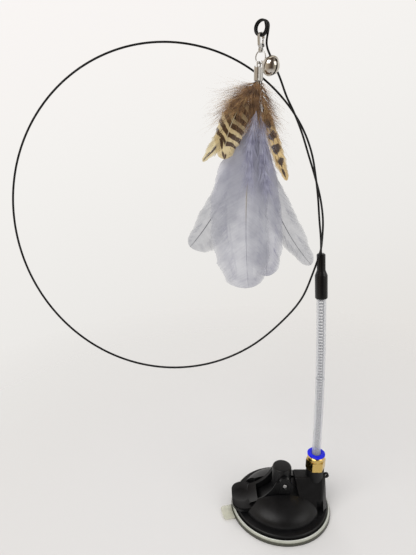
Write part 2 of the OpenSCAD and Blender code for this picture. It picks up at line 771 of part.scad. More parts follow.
module fitting_body() {
    bottom = boss_top - shank_l;
    bevel = shank_wall / 3;
    color("goldenrod")
    difference() {
        union() {
            translate([fit_x, 0, bottom])
            cylinder(h = shank_l + over, r = shank_r, $fn = fine);
            intersection() {
                translate([fit_x, 0, boss_top])
                cylinder(h = hex_h, r = hex_af / sqrt(3), $fn = 6);
                translate([fit_x, 0, boss_top])
                rotate_extrude($fn = fine)
                polygon([
                    [0, 0], [hex_af / 2, 0], [hex_af / 2 + bevel * 2, bevel],
                    [hex_af / 2 + bevel * 2, hex_h - bevel], [hex_af / 2, hex_h], [0, hex_h]
                ]);
            }
            translate([fit_x, 0, hex_top])
            rotate_extrude($fn = fine)
            polygon([
                [0, -over], [fit_body_r - over, -over], [fit_body_r - over, 0], [fit_body_r, 0],
                [fit_body_r, fit_h - bevel], [fit_body_r - bevel, fit_h],
                [0, fit_h]
            ]);
        }
        translate([fit_x, 0, ring_seat_z])
        cylinder(h = fit_top, r = fit_bore_r, $fn = fine);
        translate([fit_x, 0, ring_seat_z - loose * 2 - seal_h])
        cylinder(h = seal_h, r = tube_r + slide * 2 + seal_cord * 2 + snug, $fn = fine);
        translate([fit_x, 0, tube_seat_z])
        cylinder(h = fit_top, r = tube_r + slide, $fn = fine);
        translate([fit_x, 0, bottom - over])
        cylinder(h = fit_top, r = tube_in_r, $fn = fine);
    }
}

module o_ring() {
    color("#202020")
    translate([fit_x, 0, ring_seat_z - loose * 2 - seal_h / 2])
    torus(tube_r + slide * 2 + seal_cord, seal_cord);
}

module grip_ring() {
    color("silver")
    translate([fit_x, 0, ring_seat_z + slide])
    difference() {
        ring_section(fit_bore_r - snug, tube_r + slide * 1.5, grip_t);
        for (i = [0:claws - 1])
        rotate([0, 0, i * 360 / claws])
        translate([0, -loose / 2, -over])
        cube([tube_r + collar_wall * 0.7, loose, grip_t + over * 2]);
    }
}

module release_collar() {
    low = ring_seat_z + grip_t + slide * 2 + collar_gap;
    flange_z = fit_top + collar_gap;
    top = flange_z + collar_flange_h;
    edge = collar_flange_h * 0.35;
    color("royalblue")
    translate([fit_x, 0, 0])
    rotate_extrude($fn = fine)
    polygon([
        [collar_bore, low], [collar_sleeve_r, low], [collar_sleeve_r, flange_z],
        [fit_body_r + slide * 2, flange_z], [fit_body_r + slide * 2, top - edge],
        [fit_body_r + slide * 2 - edge, top], [collar_bore + edge, top], [collar_bore, top - edge]
    ]);
}

module clear_tube() {
    color("lightgrey", 0.5)
    translate([fit_x - bend_r, 0, tube_z])
    rotate([90, 0, 0])
    rotate_extrude(angle = lean_top, $fn = fine * 15)
    translate([bend_r, 0])
    difference() {
        circle(r = tube_r, $fn = fine / 2);
        circle(r = tube_in_r, $fn = fine / 2);
    }
}

module tube_spring() {
    rings = 8;
    start = over;
    pitch = (coil_end - start) / coil_turns;
    turns = [for (i = [0:coil_turns * rings])
        let (
            s = start + pitch * i / rings,
            a = s / bend_r * 180 / PI,
            spin = 360 * i / rings
        )
        axis_point(s) + coil_r * (cos(spin) * [cos(a), 0, sin(a)] + sin(spin) * [0, 1, 0])];
    last = len(turns) - 1;
    path = concat(
        [turns[0] - coil_wire * unit(turns[1] - turns[0])], turns,
        [turns[last] + coil_wire * unit(turns[last] - turns[last - 1])]
    );
    echo(tube_spring_least_gap = least_gap([for (i = [0:rings * 4]) turns[i]], coil_wire, rings - 2));
    color("dimgray")
    skinned(tube_rings(path, coil_wire / 2, 6, [0, 0, 1]));
}

module sleeve() {
    low = -sleeve_grip;
    body_top = low + sleeve_body_l;
    color("#141416")
    at_mast_top()
    difference() {
        rotate_extrude($fn = fine)
        polygon(concat(
            [[0, low]],
            [for (a = [0:15:90]) [sleeve_r - sleeve_round * (1 - sin(a)), low + sleeve_round * (1 - cos(a))]],
            [[sleeve_r, body_top], [neck_r, body_top + shoulder_l], [neck_r, sleeve_top - sleeve_round],
                [neck_r - sleeve_round, sleeve_top], [0, sleeve_top]]
        ));
        translate([0, 0, low - over])
        cylinder(h = sleeve_grip + over + slide * 2, r = tube_r + snug, $fn = fine);
        cylinder(h = ferrule_top + slide, r = ferrule_r + snug, $fn = fine);
        cylinder(h = sleeve_top + over, r = wire_r + slide, $fn = fine);
    }
}

module wire_ferrule() {
    color("goldenrod")
    at_mast_top()
    difference() {
        rotate_extrude($fn = fine)
        polygon([
            [0, ferrule_low], [ferrule_r - snug * 4, ferrule_low], [ferrule_r, ferrule_low + snug * 8],
            [ferrule_r, slide], [ferrule_r - snug * 4, slide * 4], [ferrule_r - snug * 4, slide * 8],
            [ferrule_r, slide * 11], [ferrule_r, ferrule_top], [0, ferrule_top]
        ]);
        translate([0, 0, ferrule_bore_z])
        cylinder(h = ferrule_top, r = wire_r + slide, $fn = fine);
    }
}

module loop_wire() {
    echo(loop_wire_least_gap = least_gap(wire_path, wire_d, eye_rings / 2));
    echo(eye_low = eye_low, hook = hook_point, ring_swing = ring_swing_point, cap = cap_point);
    echo(bell = bell_point, chain_x = chain_x,
        gate = hook_point + chain_y * gate_pivot[0] + [0, 0, gate_pivot[1]]);
    color("#101010")
    skinned(tube_rings(wire_path, wire_r, wire_sides, front_dir));
}

// Front view of the clasp without its gate: hook, one arm, knuckle and eyelet
module clasp_outline() {
    difference() {
        union() {
            circle(r = hook_out, $fn = fine);
            polygon([
                [-hook_out, 0], [-knuckle_half - hook_t * 0.4, -throat_h - knuckle_h * 0.4],
                [-knuckle_half * 0.5, -throat_h - knuckle_h], [knuckle_half * 0.5, -throat_h - knuckle_h],
                [knuckle_half + hook_t * 0.4, -throat_h - knuckle_h * 0.45],
                [knuckle_half + hook_t * 0.2, -throat_h], [0, -throat_h], [0, 0]
            ]);
            translate([0, eyelet_z])
            circle(r = eyelet_r, $fn = fine);
        }
        circle(r = hook_r, $fn = fine);
        translate([-hook_r * 0.85, -throat_h])
        square([hook_r * 0.85 + hook_out + over, throat_h + gate_top + hook_r * 0.1]);
        translate([0, -throat_h])
        square([hook_out + over, throat_h + gate_top]);
        translate([0, eyelet_z])
        circle(r = eyelet_hole_r, $fn = fine);
    }
}

module clasp_body() {
    color("silver")
    in_chain(hook_point)
    difference() {
        rotate([90, 0, 90])
        linear_extrude(clasp_w, center = true)
        clasp_outline();
        translate([-gate_t / 2 - slide, 0, -throat_h - knuckle_h * 0.92])
        cube([gate_t + slide * 2, hook_out * 2, knuckle_h * 0.92 + over]);
        translate([0, gate_pivot[0], gate_pivot[1]])
        rotate([0, 90, 0])
        cylinder(h = clasp_w + over * 2, r = rivet_r + snug, center = true, $fn = fine);
    }
}

module clasp_gate() {
    nose = [hook_r + hook_t / 2, gate_top - gate_gap];
    thumb = [hook_out + hook_t * 0.5, -throat_h + hook_t * 0.4];
    color("silver")
    in_chain(hook_point)
    rotate([90, 0, 90])
    linear_extrude(gate_t, center = true)
    difference() {
        polygon(concat(
            [[nose[0] - gate_w / 2, nose[1]], [nose[0] + gate_w / 2, nose[1]],
                [hook_out, -throat_h + hook_t], thumb, [thumb[0], thumb[1] - hook_t / 2]],
            [for (a = [0:-15:-180]) gate_pivot + gate_w * [cos(a), sin(a)]],
            [[nose[0] - gate_w, -throat_h / 2]]
        ));
        translate(gate_pivot)
        circle(r = rivet_r + snug, $fn = fine);
    }
}

module clasp_rivet() {
    head = rivet_r * 0.5;
    color("gray")
    in_chain(hook_point + [0, 0, gate_pivot[1]] + chain_y * gate_pivot[0])
    rotate([0, 90, 0]) {
        cylinder(h = clasp_w + snug * 4, r = rivet_r, center = true, $fn = fine);
        for (side = [-1, 1])
        translate([0, 0, side * (clasp_w / 2 + snug * 1.5 + head / 2)])
        cylinder(h = head, r = rivet_r * 1.8, center = true, $fn = fine);
    }
}

module jump_ring() {
    split = 8;
    color("silver")
    in_chain(ring_point)
    rotate([90, 0, 0])
    rotate([0, 0, split / 2 + 30])
    rotate_extrude(angle = 360 - split, $fn = fine)
    translate([ring_r, 0])
    circle(r = ring_wire_r, $fn = fine / 3);
}

// The bell hangs along its own axis from the wire of the ring
bell_loop_z = -(bell_loop_r - ring_wire - slide * 2.5);
bell_z = bell_loop_z - bell_loop_r - ring_wire_r - slide - bell_r;
bell_loop_turn = 14.5;
bell_axis = [sin(bell_tilt) * cos(bell_front), -sin(bell_tilt) * sin(bell_front), -cos(bell_tilt)];

module in_bell() {
    translate(bell_point)
    rotate([0, -bell_tilt, -bell_front])
    translate([0, 0, bell_z])
    children();
}

// Section of one half of the shell, from its hole or slot to the rim
module bell_half(hole) {
    start = asin(hole / bell_r);
    outer = [for (a = [0:7.5:90 - 7.5]) [bell_r * cos(a), bell_r * sin(a)]];
    inner = [for (a = [90 - 7.5:-7.5:0]) [(bell_r - bell_t) * cos(a), (bell_r - bell_t) * sin(a)]];
    rotate_extrude($fn = fine)
    polygon(concat(
        [[bell_r + bell_rim, 0], [bell_r + bell_rim, bell_t], [bell_r * cos(asin(bell_t / bell_r)), bell_t]],
        [for (p = outer) if (p[1] > bell_t * 1.2) p],
        [[hole, bell_r * cos(start)], [hole, (bell_r - bell_t) * cos(start)]],
        inner
    ));
}

bell_hole = ring_wire_r + slide;

module bell_top() {
    color("#b8b4a8")
    in_bell()
    translate([0, 0, snug / 2])
    bell_half(bell_hole);
}

module bell_bottom() {
    color("#b8b4a8")
    in_bell()
    difference() {
        translate([0, 0, -snug / 2])
        mirror([0, 0, 1])
        bell_half(bell_slot / 4);
        translate([0, 0, -bell_r])
        cube([bell_r * 1.5, bell_slot, bell_r], center = true);
        for (side = [-1, 1])
        translate([side * bell_r * 0.75, 0, -bell_r])
        cylinder(h = bell_r * 0.8, r = bell_slot * 0.8, $fn = fine);
    }
}

module bell_ball() {
    rest = -(bell_r - bell_t - pellet_r - slide);
    color("gray")
    translate(bell_point - bell_axis * bell_z + [0, 0, rest])
    sphere(r = pellet_r, $fn = fine);
}

module bell_loop() {
    color("silver")
    translate(bell_point)
    rotate([0, -bell_tilt, -bell_front]) {
        translate([0, 0, bell_loop_z])
        rotate([0, 0, bell_loop_turn])
        rotate([0, 90, 0])
        torus(bell_loop_r, ring_wire_r);
        translate([0, 0, bell_z + bell_r - bell_t - slide * 2])
        cylinder(h = bell_t + slide * 3 + ring_wire_r, r = ring_wire_r, $fn = fine);
        translate([0, 0, bell_z + bell_r - bell_t - slide * 2 - ring_wire_r])
        cylinder(h = ring_wire_r, r = ring_wire, $fn = fine);
    }
}

// Section of the cap: a flattened tube whose two flaps meet on the front
module cap_section() {
    corner = cap_t * 2;
    difference() {
        rounded_box(cap_d, cap_w, corner);
        rounded_box(cap_d - cap_t * 2, cap_w - cap_t * 2, corner - cap_t);
        translate([0, -slide * 1.5])
        square([cap_d, slide * 3]);
    }
}

module rounded_box(wide, long, corner) {
    square([wide - corner * 2, long], center = true);
    square([wide, long - corner * 2], center = true);
    for (x = [-1, 1])
    for (y = [-1, 1])
    translate([x * (wide / 2 - corner), y * (long / 2 - corner)])
    circle(r = corner, $fn = fine);
}

module feather_cap() {
    plate = cap_t * 1.4;
    eye_out_r = cap_eye_r + cap_eye_wall;
    color("silver")
    in_chain(cap_point) {
        translate([0, 0, cap_low])
        linear_extrude(cap_h)
        cap_section();
        difference() {
            union() {
                translate([-plate / 2, 0, cap_eye_z])
                rotate([0, 90, 0])
                cylinder(h = plate, r = eye_out_r, $fn = fine);
                translate([-cap_d / 2 + cap_t / 2, -cap_w / 2 + cap_t * 2, cap_top - cap_t])
                cube([cap_d / 2 + plate / 2 - cap_t / 2, cap_w - cap_t * 4, cap_t]);
            }
            translate([0, 0, cap_eye_z])
            rotate([0, 90, 0])
            cylinder(h = plate + over * 2, r = cap_eye_r, center = true, $fn = fine);
            translate([-cap_d / 2, -cap_w / 2, cap_low])
            cube([cap_d, cap_w, cap_h - cap_t]);
        }
        for (side = [-1, 1])
        translate([-cap_d / 2, side * cap_w * 0.3 - cap_t, cap_top - cap_t])
        cube([cap_t, cap_t * 2, cap_t * 3.5]);
    }
}

module grey_feather(i) {
    color("#b9bccb")
    skinned(feather_rings(grey_shares[i], grey_l));
}

module brown_feather(i) {
    color("#7a5f42")
    skinned(feather_rings(brown_shares[i], brown_l));
}

housing();
suction_disc();
stem();
lever_pin();
lever();
fitting_body();
o_ring();
grip_ring();
release_collar();
clear_tube();
tube_spring();
sleeve();
wire_ferrule();
loop_wire();
clasp_body();
clasp_gate();
clasp_rivet();
jump_ring();
bell_top();
bell_bottom();
bell_ball();
bell_loop();
feather_cap();
grey_feather(0);  // grey_feather_a
grey_feather(1);  // grey_feather_b
grey_feather(2);  // grey_feather_c
grey_feather(3);  // grey_feather_d
brown_feather(0);  // brown_feather_a
brown_feather(1);  // brown_feather_b
brown_feather(2);  // brown_feather_c
brown_feather(3);  // brown_feather_d
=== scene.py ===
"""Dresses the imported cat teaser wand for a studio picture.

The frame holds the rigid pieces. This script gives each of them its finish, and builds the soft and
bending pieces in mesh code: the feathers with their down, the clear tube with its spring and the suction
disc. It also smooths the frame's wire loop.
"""

import json
import logging
import math
import random
from collections.abc import Iterable, Sequence
from dataclasses import dataclass
from enum import Enum

import bpy
from mathutils import Euler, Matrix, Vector


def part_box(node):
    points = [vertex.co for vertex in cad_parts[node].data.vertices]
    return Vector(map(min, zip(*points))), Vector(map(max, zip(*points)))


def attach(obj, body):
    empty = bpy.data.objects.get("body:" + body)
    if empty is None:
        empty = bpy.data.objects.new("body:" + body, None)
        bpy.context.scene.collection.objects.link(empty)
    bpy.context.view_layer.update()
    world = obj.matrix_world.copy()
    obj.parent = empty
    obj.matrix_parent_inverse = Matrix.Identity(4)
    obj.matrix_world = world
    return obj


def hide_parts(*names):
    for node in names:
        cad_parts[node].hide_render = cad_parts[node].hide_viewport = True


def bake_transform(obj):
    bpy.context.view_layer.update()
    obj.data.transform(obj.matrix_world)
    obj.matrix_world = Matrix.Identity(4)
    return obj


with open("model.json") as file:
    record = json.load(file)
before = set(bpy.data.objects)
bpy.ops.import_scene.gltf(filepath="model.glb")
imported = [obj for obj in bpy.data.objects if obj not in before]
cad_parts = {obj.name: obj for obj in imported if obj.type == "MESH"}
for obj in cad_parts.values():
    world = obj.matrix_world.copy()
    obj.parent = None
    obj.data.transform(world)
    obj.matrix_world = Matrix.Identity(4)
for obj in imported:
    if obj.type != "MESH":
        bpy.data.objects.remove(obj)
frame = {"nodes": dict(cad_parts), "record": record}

log = logging.getLogger("wand")

Colour = tuple[float, float, float]
Socket = bpy.types.NodeSocket

# One millimetre in metres, and the direction from the front of the wand to its back
MM = 0.001
DEEP = Vector((0.0, 1.0, 0.0))


def to_linear(value: float) -> float:
    """Turns one display value into linear light.

    Args:
        value: Display value from 0 to 255.

    Returns:
        The linear value, from 0 to 1.
    """
    share = value / 255
    return share / 12.92 if share <= 0.04045 else ((share + 0.055) / 1.055) ** 2.4


def linear(red: float, green: float, blue: float) -> Colour:
    """Turns a display colour into linear light.

    Args:
        red: Display value of red, from 0 to 255.
        green: Display value of green.
        blue: Display value of blue.

    Returns:
        The three linear values, each from 0 to 1.
    """
    return to_linear(red), to_linear(green), to_linear(blue)


def ease(share: float) -> float:
    """Slows a share down at both of its ends.

    Args:
        share: A share from 0 to 1.

    Returns:
        The eased share.
    """
    return share * share * (3 - 2 * share)


class Pattern(Enum):
    """What is painted on a feather's vane."""

    PLAIN = "plain"
    BARRED = "barred"
    SPOTTED = "spotted"


class Nodes:
    """A node tree under construction."""

    def __init__(self, tree: bpy.types.NodeTree) -> None:
        """Keeps the tree.

        Args:
            tree: The node tree that grows.
        """
        self.tree = tree

    @staticmethod
    def put(node: bpy.types.Node, key: str, value: object) -> None:
        """Sets one socket of a node.

        Args:
            node: The node.
            key: Name of the socket.
            value: A number, or a colour of three numbers.
        """
        socket = node.inputs[key]
        if isinstance(value, tuple) and len(value) == 3 and len(socket.default_value) == 4:
            value = (*value, 1.0)
        socket.default_value = value

    def node(self, kind: str, **values: object) -> bpy.types.Node:
        """Adds a node.

        Args:
            kind: The node's kind, without the ShaderNode in front.
            **values: Sockets to link or values to set, by the socket's name; properties in lower case.

        Returns:
            The new node.
        """
        made = self.tree.nodes.new("ShaderNode" + kind)
        for key, value in values.items():
            if hasattr(made, key) and key.islower():
                setattr(made, key, value)
            elif isinstance(value, Socket):
                self.tree.links.new(value, made.inputs[key])
            else:
                self.put(made, key, value)
        return made

    def filled(self, kind: str, *inputs: Socket | float) -> bpy.types.Node:
        """Adds a node and fills its sockets in their order.

        Args:
            kind: The node's kind, without the ShaderNode in front.
            *inputs: Sockets or numbers.

        Returns:
            The new node.
        """
        made = self.tree.nodes.new("ShaderNode" + kind)
        for place, value in enumerate(inputs):
            if isinstance(value, Socket):
                self.tree.links.new(value, made.inputs[place])
            else:
                made.inputs[place].default_value = value
        return made

    def math(self, operation: str, *inputs: Socket | float) -> Socket:
        """Adds a Math node.

        Args:
            operation: The operation's name.
            *inputs: Sockets or numbers.

        Returns:
            The result's socket.
        """
        made = self.filled("Math", *inputs)
        made.operation = operation
        return made.outputs[0]

    def limit(self, value: Socket) -> Socket:
        """Holds a value between 0 and 1.

        Args:
            value: The value.

        Returns:
            The limited value's socket.
        """
        return self.node("Clamp", Value=value).outputs[0]

    def ramp(self, fac: Socket, *stops: tuple[float, Colour]) -> Socket:
        """Adds a colour ramp.

        Args:
            fac: What drives it.
            *stops: Places from 0 to 1, each with its colour.

        Returns:
            The colour's socket.
        """
        made = self.filled("ValToRGB", fac)
        elements = made.color_ramp.elements
        while len(elements) < len(stops):
            elements.new(0.5)
        for element, (place, colour) in zip(elements, stops):
            element.position = place
            element.color = (*colour, 1.0)
        return made.outputs[0]

    def mix_colours(self, fac: Socket, first: Socket | Colour, second: Socket | Colour) -> Socket:
        """Mixes two colours.

        Args:
            fac: Share of the second.
            first: The first colour.
            second: The second colour.

        Returns:
            The mixed colour's socket.
        """
        return self.node("MixRGB", Fac=fac, Color1=first, Color2=second).outputs[0]

    def mix_shaders(self, fac: Socket | float, first: Socket, second: Socket) -> Socket:
        """Mixes two shaders.

        Args:
            fac: Share of the second.
            first: The first shader.
            second: The second shader.

        Returns:
            The mixed shader's socket.
        """
        return self.filled("MixShader", fac, first, second).outputs[0]


class Shader(Nodes):
    """A material under construction: one Principled shader and the nodes that feed it."""

    def __init__(self, name: str, **values: float | Colour) -> None:
        """Makes the material.

        Args:
            name: Name of the material.
            **values: Values for the shader's own sockets, with underscores for spaces.
        """
        self.material = bpy.data.materials.new(name)
        self.material.use_nodes = True
        super().__init__(self.material.node_tree)
        self.surface = self.tree.nodes["Principled BSDF"]
        self.output = self.tree.nodes["Material Output"]
        for key, value in values.items():
            self.put(self.surface, key.replace("_", " ").title().replace("Ior", "IOR"), value)
        self._coordinates: Socket | None = None

    @property
    def position(self) -> Socket:
        """Gives the object's own coordinates, in metres.

        Returns:
            Their socket.
        """
        if self._coordinates is None:
            self._coordinates = self.tree.nodes.new("ShaderNodeTexCoord").outputs["Object"]
        return self._coordinates

    def noise(self, scale: float, detail: float = 3.0, vector: Socket | None = None) -> Socket:
        """Adds a noise texture in the object's own space.

        Args:
            scale: Bumps for each metre.
            detail: Octaves.
            vector: Other coordinates to read.

        Returns:
            The factor's socket.
        """
        made = self.node("TexNoise", Vector=vector or self.position, Scale=scale, Detail=detail)
        return made.outputs["Fac" if "Fac" in made.outputs else "Factor"]

    def spread(self, fac: Socket, low: float, high: float) -> Socket:
        """Maps a factor from 0..1 to a range.

        Args:
            fac: The factor.
            low: Value at 0.
            high: Value at 1.

        Returns:
            The mapped value's socket.
        """
        return self.math("MULTIPLY_ADD", fac, high - low, low)

    def feed(self, key: str, source: Socket) -> None:
        """Links a socket to the shader.

        Args:
            key: Name of the shader's socket.
            source: What is linked to it.
        """
        self.tree.links.new(source, self.surface.inputs[key])

    def bump(self, height: Socket, depth: float, strength: float = 1.0) -> None:
        """Adds a bump to the shader's normal.

        Args:
            height: The height, from 0 to 1.
            depth: Its depth in metres.
            strength: How much of it shows.
        """
        self.feed("Normal", self.node("Bump", Height=height, Distance=depth, Strength=strength).outputs[0])


@dataclass(frozen=True)
class Finish:
    """Base of every finish: a name and the way to make its material."""

    name: str

    def build(self) -> bpy.types.Material:
        """Makes the material.

        Returns:
            The new material.
        """
        raise NotImplementedError


@dataclass(frozen=True)
class MouldedPlastic(Finish):
    """Opaque plastic with a fine moulded grain and a soft, uneven gloss.

    Scales are in bumps for each metre.
    """

    colour: Colour
    gloss: float = 0.4
    unevenness: float = 0.12
    grain: float = 9000.0
    grain_depth: float = 0.00002
    blotches: float = 160.0
    wear: float = 900.0
    shine: float = 0.28

    def build(self) -> bpy.types.Material:
        """Makes the material.

        Returns:
            The new material.
        """
        s = Shader(self.name, specular_ior_level=self.shine)
        cloud = s.noise(self.blotches, 4.0)
        light = tuple(min(1.0, c * 1.3 + 0.001) for c in self.colour)
        dark = tuple(c * 0.75 for c in self.colour)
        s.feed("Base Color", s.ramp(cloud, (0.3, dark), (0.7, light)))
        wear = s.noise(self.wear, 6.0)
        s.feed("Roughness", s.spread(wear, self.gloss - self.unevenness, self.gloss + self.unevenness))
        s.bump(s.noise(self.grain, 2.0), self.grain_depth, 0.5)
        return s.material


@dataclass(frozen=True)
class Metal(Finish):
    """Bare or plated metal with fine polish marks."""

    colour: Colour
    gloss: float = 0.15
    unevenness: float = 0.08
    marks: float = 1500.0
    marks_depth: float = 0.00001
    patches: float = 1400.0
    tarnish: Colour | None = None

    def build(self) -> bpy.types.Material:
        """Makes the material.

        Returns:
            The new material.
        """
        s = Shader(self.name, metallic=1.0)
        cloud = s.noise(self.patches, 5.0)
        low = self.tarnish or tuple(c * 0.8 for c in self.colour)
        s.feed("Base Color", s.ramp(cloud, (0.3, low), (0.6, self.colour)))
        s.feed("Roughness", s.spread(cloud, self.gloss - self.unevenness, self.gloss + self.unevenness))
        s.bump(s.noise(self.marks, 3.0), self.marks_depth, 0.4)
        return s.material


@dataclass(frozen=True)
class ClearPlastic(Finish):
    """Clear, slightly milky plastic, seen as a thin wall."""

    colour: Colour
    alpha: float
    gloss: float
    milk: float
    edge: float = 0.55
    waves: float = 420.0
    wave_depth: float = 0.00005

    def build(self) -> bpy.types.Material:
        """Makes the material.

        Returns:
            The new material.
        """
        s = Shader(self.name, base_color=self.colour, specular_ior_level=0.6)
        facing = s.node("LayerWeight", Blend=0.35).outputs["Facing"]
        cloud = s.noise(260.0, 4.0)
        body = s.spread(cloud, self.alpha - self.milk / 2, self.alpha + self.milk / 2)
        rim = s.math("MULTIPLY", facing, self.edge)
        s.feed("Alpha", s.math("MINIMUM", s.math("ADD", body, rim), 1.0))
        s.feed("Roughness", s.spread(cloud, self.gloss, self.gloss + 0.12))
        s.bump(s.noise(self.waves, 3.0), self.wave_depth, 0.3)
        return s.material


@dataclass(frozen=True)
class DiscRubber(Finish):
    """The suction disc's clear rubber.

    It is pale on its lip and milky on the tab. Painted shade darkens the lip's wall, where the wall bends the
    light, and a painted highlight lightens the lip's top edge.
    """

    # Painted shade on the lip's wall, the lip's own pale tone, and a painted highlight on the lip's top edge
    wall: Colour
    lip: Colour
    crest_highlight: Colour
    tab: Colour
    radius: float = 0.0358
    lip_height: float = 0.004
    tab_clearness: float = 0.36
    waves: float = 420.0
    wave_depth: float = 0.00005

    def build(self) -> bpy.types.Material:
        """Makes the material.

        Returns:
            The new material.
        """
        s = Shader(self.name, specular_ior_level=0.7)
        split = s.node("SeparateXYZ", Vector=s.position)
        x, y, z = split.outputs
        flat = s.math("SQRT", s.math("ADD", s.math("MULTIPLY", x, x), s.math("MULTIPLY", y, y)))
        cloud = s.noise(300.0, 4.0)
        level = s.math("ADD", s.math("MULTIPLY", z, 1 / self.lip_height),
                       s.math("MULTIPLY", s.math("SUBTRACT", cloud, 0.5), 0.08))
        # Painted light and shade by height: painted shade low on the lip's wall, a painted highlight on its
        # top edge
        shade_and_highlight_band = s.ramp(level, (0.3, self.wall), (0.54, tuple(c * 1.8 for c in self.wall)), (0.7, self.lip),
                      (0.86, self.lip), (0.97, self.crest_highlight))
        outside = s.limit(s.math("MULTIPLY", s.math("SUBTRACT", flat, self.radius), 4000.0))
        tint = s.ramp(cloud, (0.3, tuple(c * 0.86 for c in self.tab)), (0.7, self.tab))
        s.feed("Base Color", s.mix_colours(outside, shade_and_highlight_band, tint))
        s.feed("Alpha", s.math("SUBTRACT", 0.92, s.math("MULTIPLY", outside, self.tab_clearness)))
        s.feed("Roughness", s.spread(cloud, 0.1, 0.26))
        s.bump(s.noise(self.waves, 3.0), self.wave_depth, 0.3)
        return s.material


@dataclass(frozen=True)
class Vane(Finish):
    """A feather's vane: fine barbs across it, thin enough for light to come through.

    Each spot, a real dark mark or a patch of painted crease shade, has its place along the feather and across
    it, then its half length and half width.
    """

    pattern: Pattern
    light: Colour
    dark: Colour
    top: Colour
    shaft: Colour
    spots_and_crease_shade: tuple[tuple[float, float, float, float], ...] = ()
    bars: float = 0.0
    bar_end: float = 0.72
    sweep: float = 0.0
    tilt: float = 0.0
    spot_and_shade_share: float = 1.0
    shaft_end: float = 1.2
    see_through: float = 0.2
    fray: float = 0.45
    shaft_half: float = 0.03
    glow: float = 0.38
    barb_depth: float = 0.00012

    def _spot_and_shade_mask(self, s: Shader, along: Socket, across: Socket, wobble: Socket) -> Socket:
        """Joins the dark spot marks and the patches of painted crease shade into one mask.

        Args:
            s: The shader that is built.
            along: Share of the feather's length.
            across: Place across the vane, -1 to 1.
            wobble: Noise that roughens the edges of the marks.

        Returns:
            The mask's socket.
        """
        masks = []
        for place, side, long, wide in self.spots_and_crease_shade:
            a = s.math("DIVIDE", s.math("SUBTRACT", along, place), long)
            b = s.math("DIVIDE", s.math("SUBTRACT", across, side), wide)
            far = s.math("SQRT", s.math("ADD", s.math("MULTIPLY", a, a), s.math("MULTIPLY", b, b)))
            near = s.math("SUBTRACT", s.math("ADD", 1.2, s.math("MULTIPLY", wobble, 1.3)), far)
            masks.append(s.math("MULTIPLY", near, 4.0))
        joined = masks[0]
        for mask in masks[1:]:
            joined = s.math("MAXIMUM", joined, mask)
        return joined

    def _bar_mask(self, s: Shader, along: Socket, wobble: Socket) -> Socket:
        """Makes the bars' mask, which ends before the tip.

        Args:
            s: The shader that is built.
            along: Share of the feather's length.
            wobble: Noise that roughens the bars' edges.

        Returns:
            The mask's socket.
        """
        shaken = s.math("ADD", along, s.math("MULTIPLY", wobble, 0.03))
        beat = s.math("SINE", s.math("MULTIPLY", shaken, self.bars * math.tau))
        mask = s.math("MULTIPLY", s.math("ADD", beat, 0.35), 3.0)
        outer = s.math("GREATER_THAN", along, self.bar_end)
        return s.math("SUBTRACT", mask, s.math("MULTIPLY", outer, 6.0))

    def _paint(self, s: Shader, root: Socket, side: Socket, out: Socket, fine: Socket) -> Socket:
        """Paints the barbs: paler towards the tip, with the pattern's bars, its dark spot marks and patches
        of painted crease shade.

        Args:
            s: The shader that is built.
            root: Share of the feather's length where a barb starts.
            side: Place across the vane, -1 to 1.
            out: Distance from the shaft, 0 to 1.
            fine: Noise drawn out along the barbs.

        Returns:
            The colour's socket.
        """
        along = s.math("MULTIPLY_ADD", side, self.tilt, s.math("MULTIPLY_ADD", out, self.sweep, root))
        cloud = s.noise(110.0, 3.0)
        shade = self.dark if self.pattern is Pattern.PLAIN else tuple(c * 0.72 for c in self.light)
        plain = s.ramp(s.math("ADD", s.math("MULTIPLY", fine, 0.3), s.math("MULTIPLY", cloud, 0.7)),
                       (0.34, shade), (0.62, self.light))
        down = s.limit(s.math("MULTIPLY_ADD", along, 2.0, -0.35))
        colour = s.mix_colours(s.spread(down, 0.25, 1.0), self.top, plain)
        wobble = s.math("SUBTRACT", s.noise(420.0, 3.0), 0.5)
        if not self.spots_and_crease_shade:
            return colour
        # Dark marks: real spots on the brown vanes, painted crease shade on grey_a
        mask = self._spot_and_shade_mask(s, along, side, wobble)
        if self.pattern is Pattern.BARRED:
            mask = s.math("MAXIMUM", self._bar_mask(s, along, wobble), mask)
        return s.mix_colours(s.math("MULTIPLY", s.limit(mask), self.spot_and_shade_share), colour, self.dark)

    def build(self) -> bpy.types.Material:
        """Makes the material.

        Returns:
            The new material.
        """
        s = Shader(self.name, roughness=0.66, sheen_weight=0.3, sheen_roughness=0.4, specular_ior_level=0.3)
        uv = s.node("UVMap", uv_map="barbs").outputs[0]
        split = s.node("SeparateXYZ", Vector=uv)
        root, side = split.outputs[0], s.math("MULTIPLY_ADD", split.outputs[1], 2.0, -1.0)
        out = s.math("ABSOLUTE", side)
        fine = s.noise(1.0, 3.0, s.node("Mapping", Vector=uv, Scale=(90.0, 2.4, 1.0)).outputs[0])
        shaft = s.limit(s.math("MULTIPLY", s.math("SUBTRACT", self.shaft_half, out), 60.0))
        fading = s.limit(s.math("MULTIPLY", s.math("SUBTRACT", self.shaft_end, root), 6.0))
        painted = self._paint(s, root, side, out, fine)
        colour = s.mix_colours(s.math("MULTIPLY", shaft, fading), painted, self.shaft)
        s.feed("Base Color", colour)
        s.bump(fine, self.barb_depth, 0.5)
        through = s.node("BsdfTranslucent", Color=colour).outputs[0]
        clear = s.node("BsdfTransparent").outputs[0]
        barbs = s.mix_shaders(self.glow, s.surface.outputs[0], through)
        edge = s.math("MULTIPLY", s.math("POWER", out, 7.0), s.spread(fine, 0.4, 1.6))
        opening = s.math("MINIMUM", s.math("MULTIPLY_ADD", edge, self.fray, self.see_through), 0.95)
        opening = s.math("MULTIPLY", opening, s.math("SUBTRACT", 1.0, shaft))
        s.tree.links.new(s.mix_shaders(opening, barbs, clear), s.output.inputs["Surface"])
        return s.material


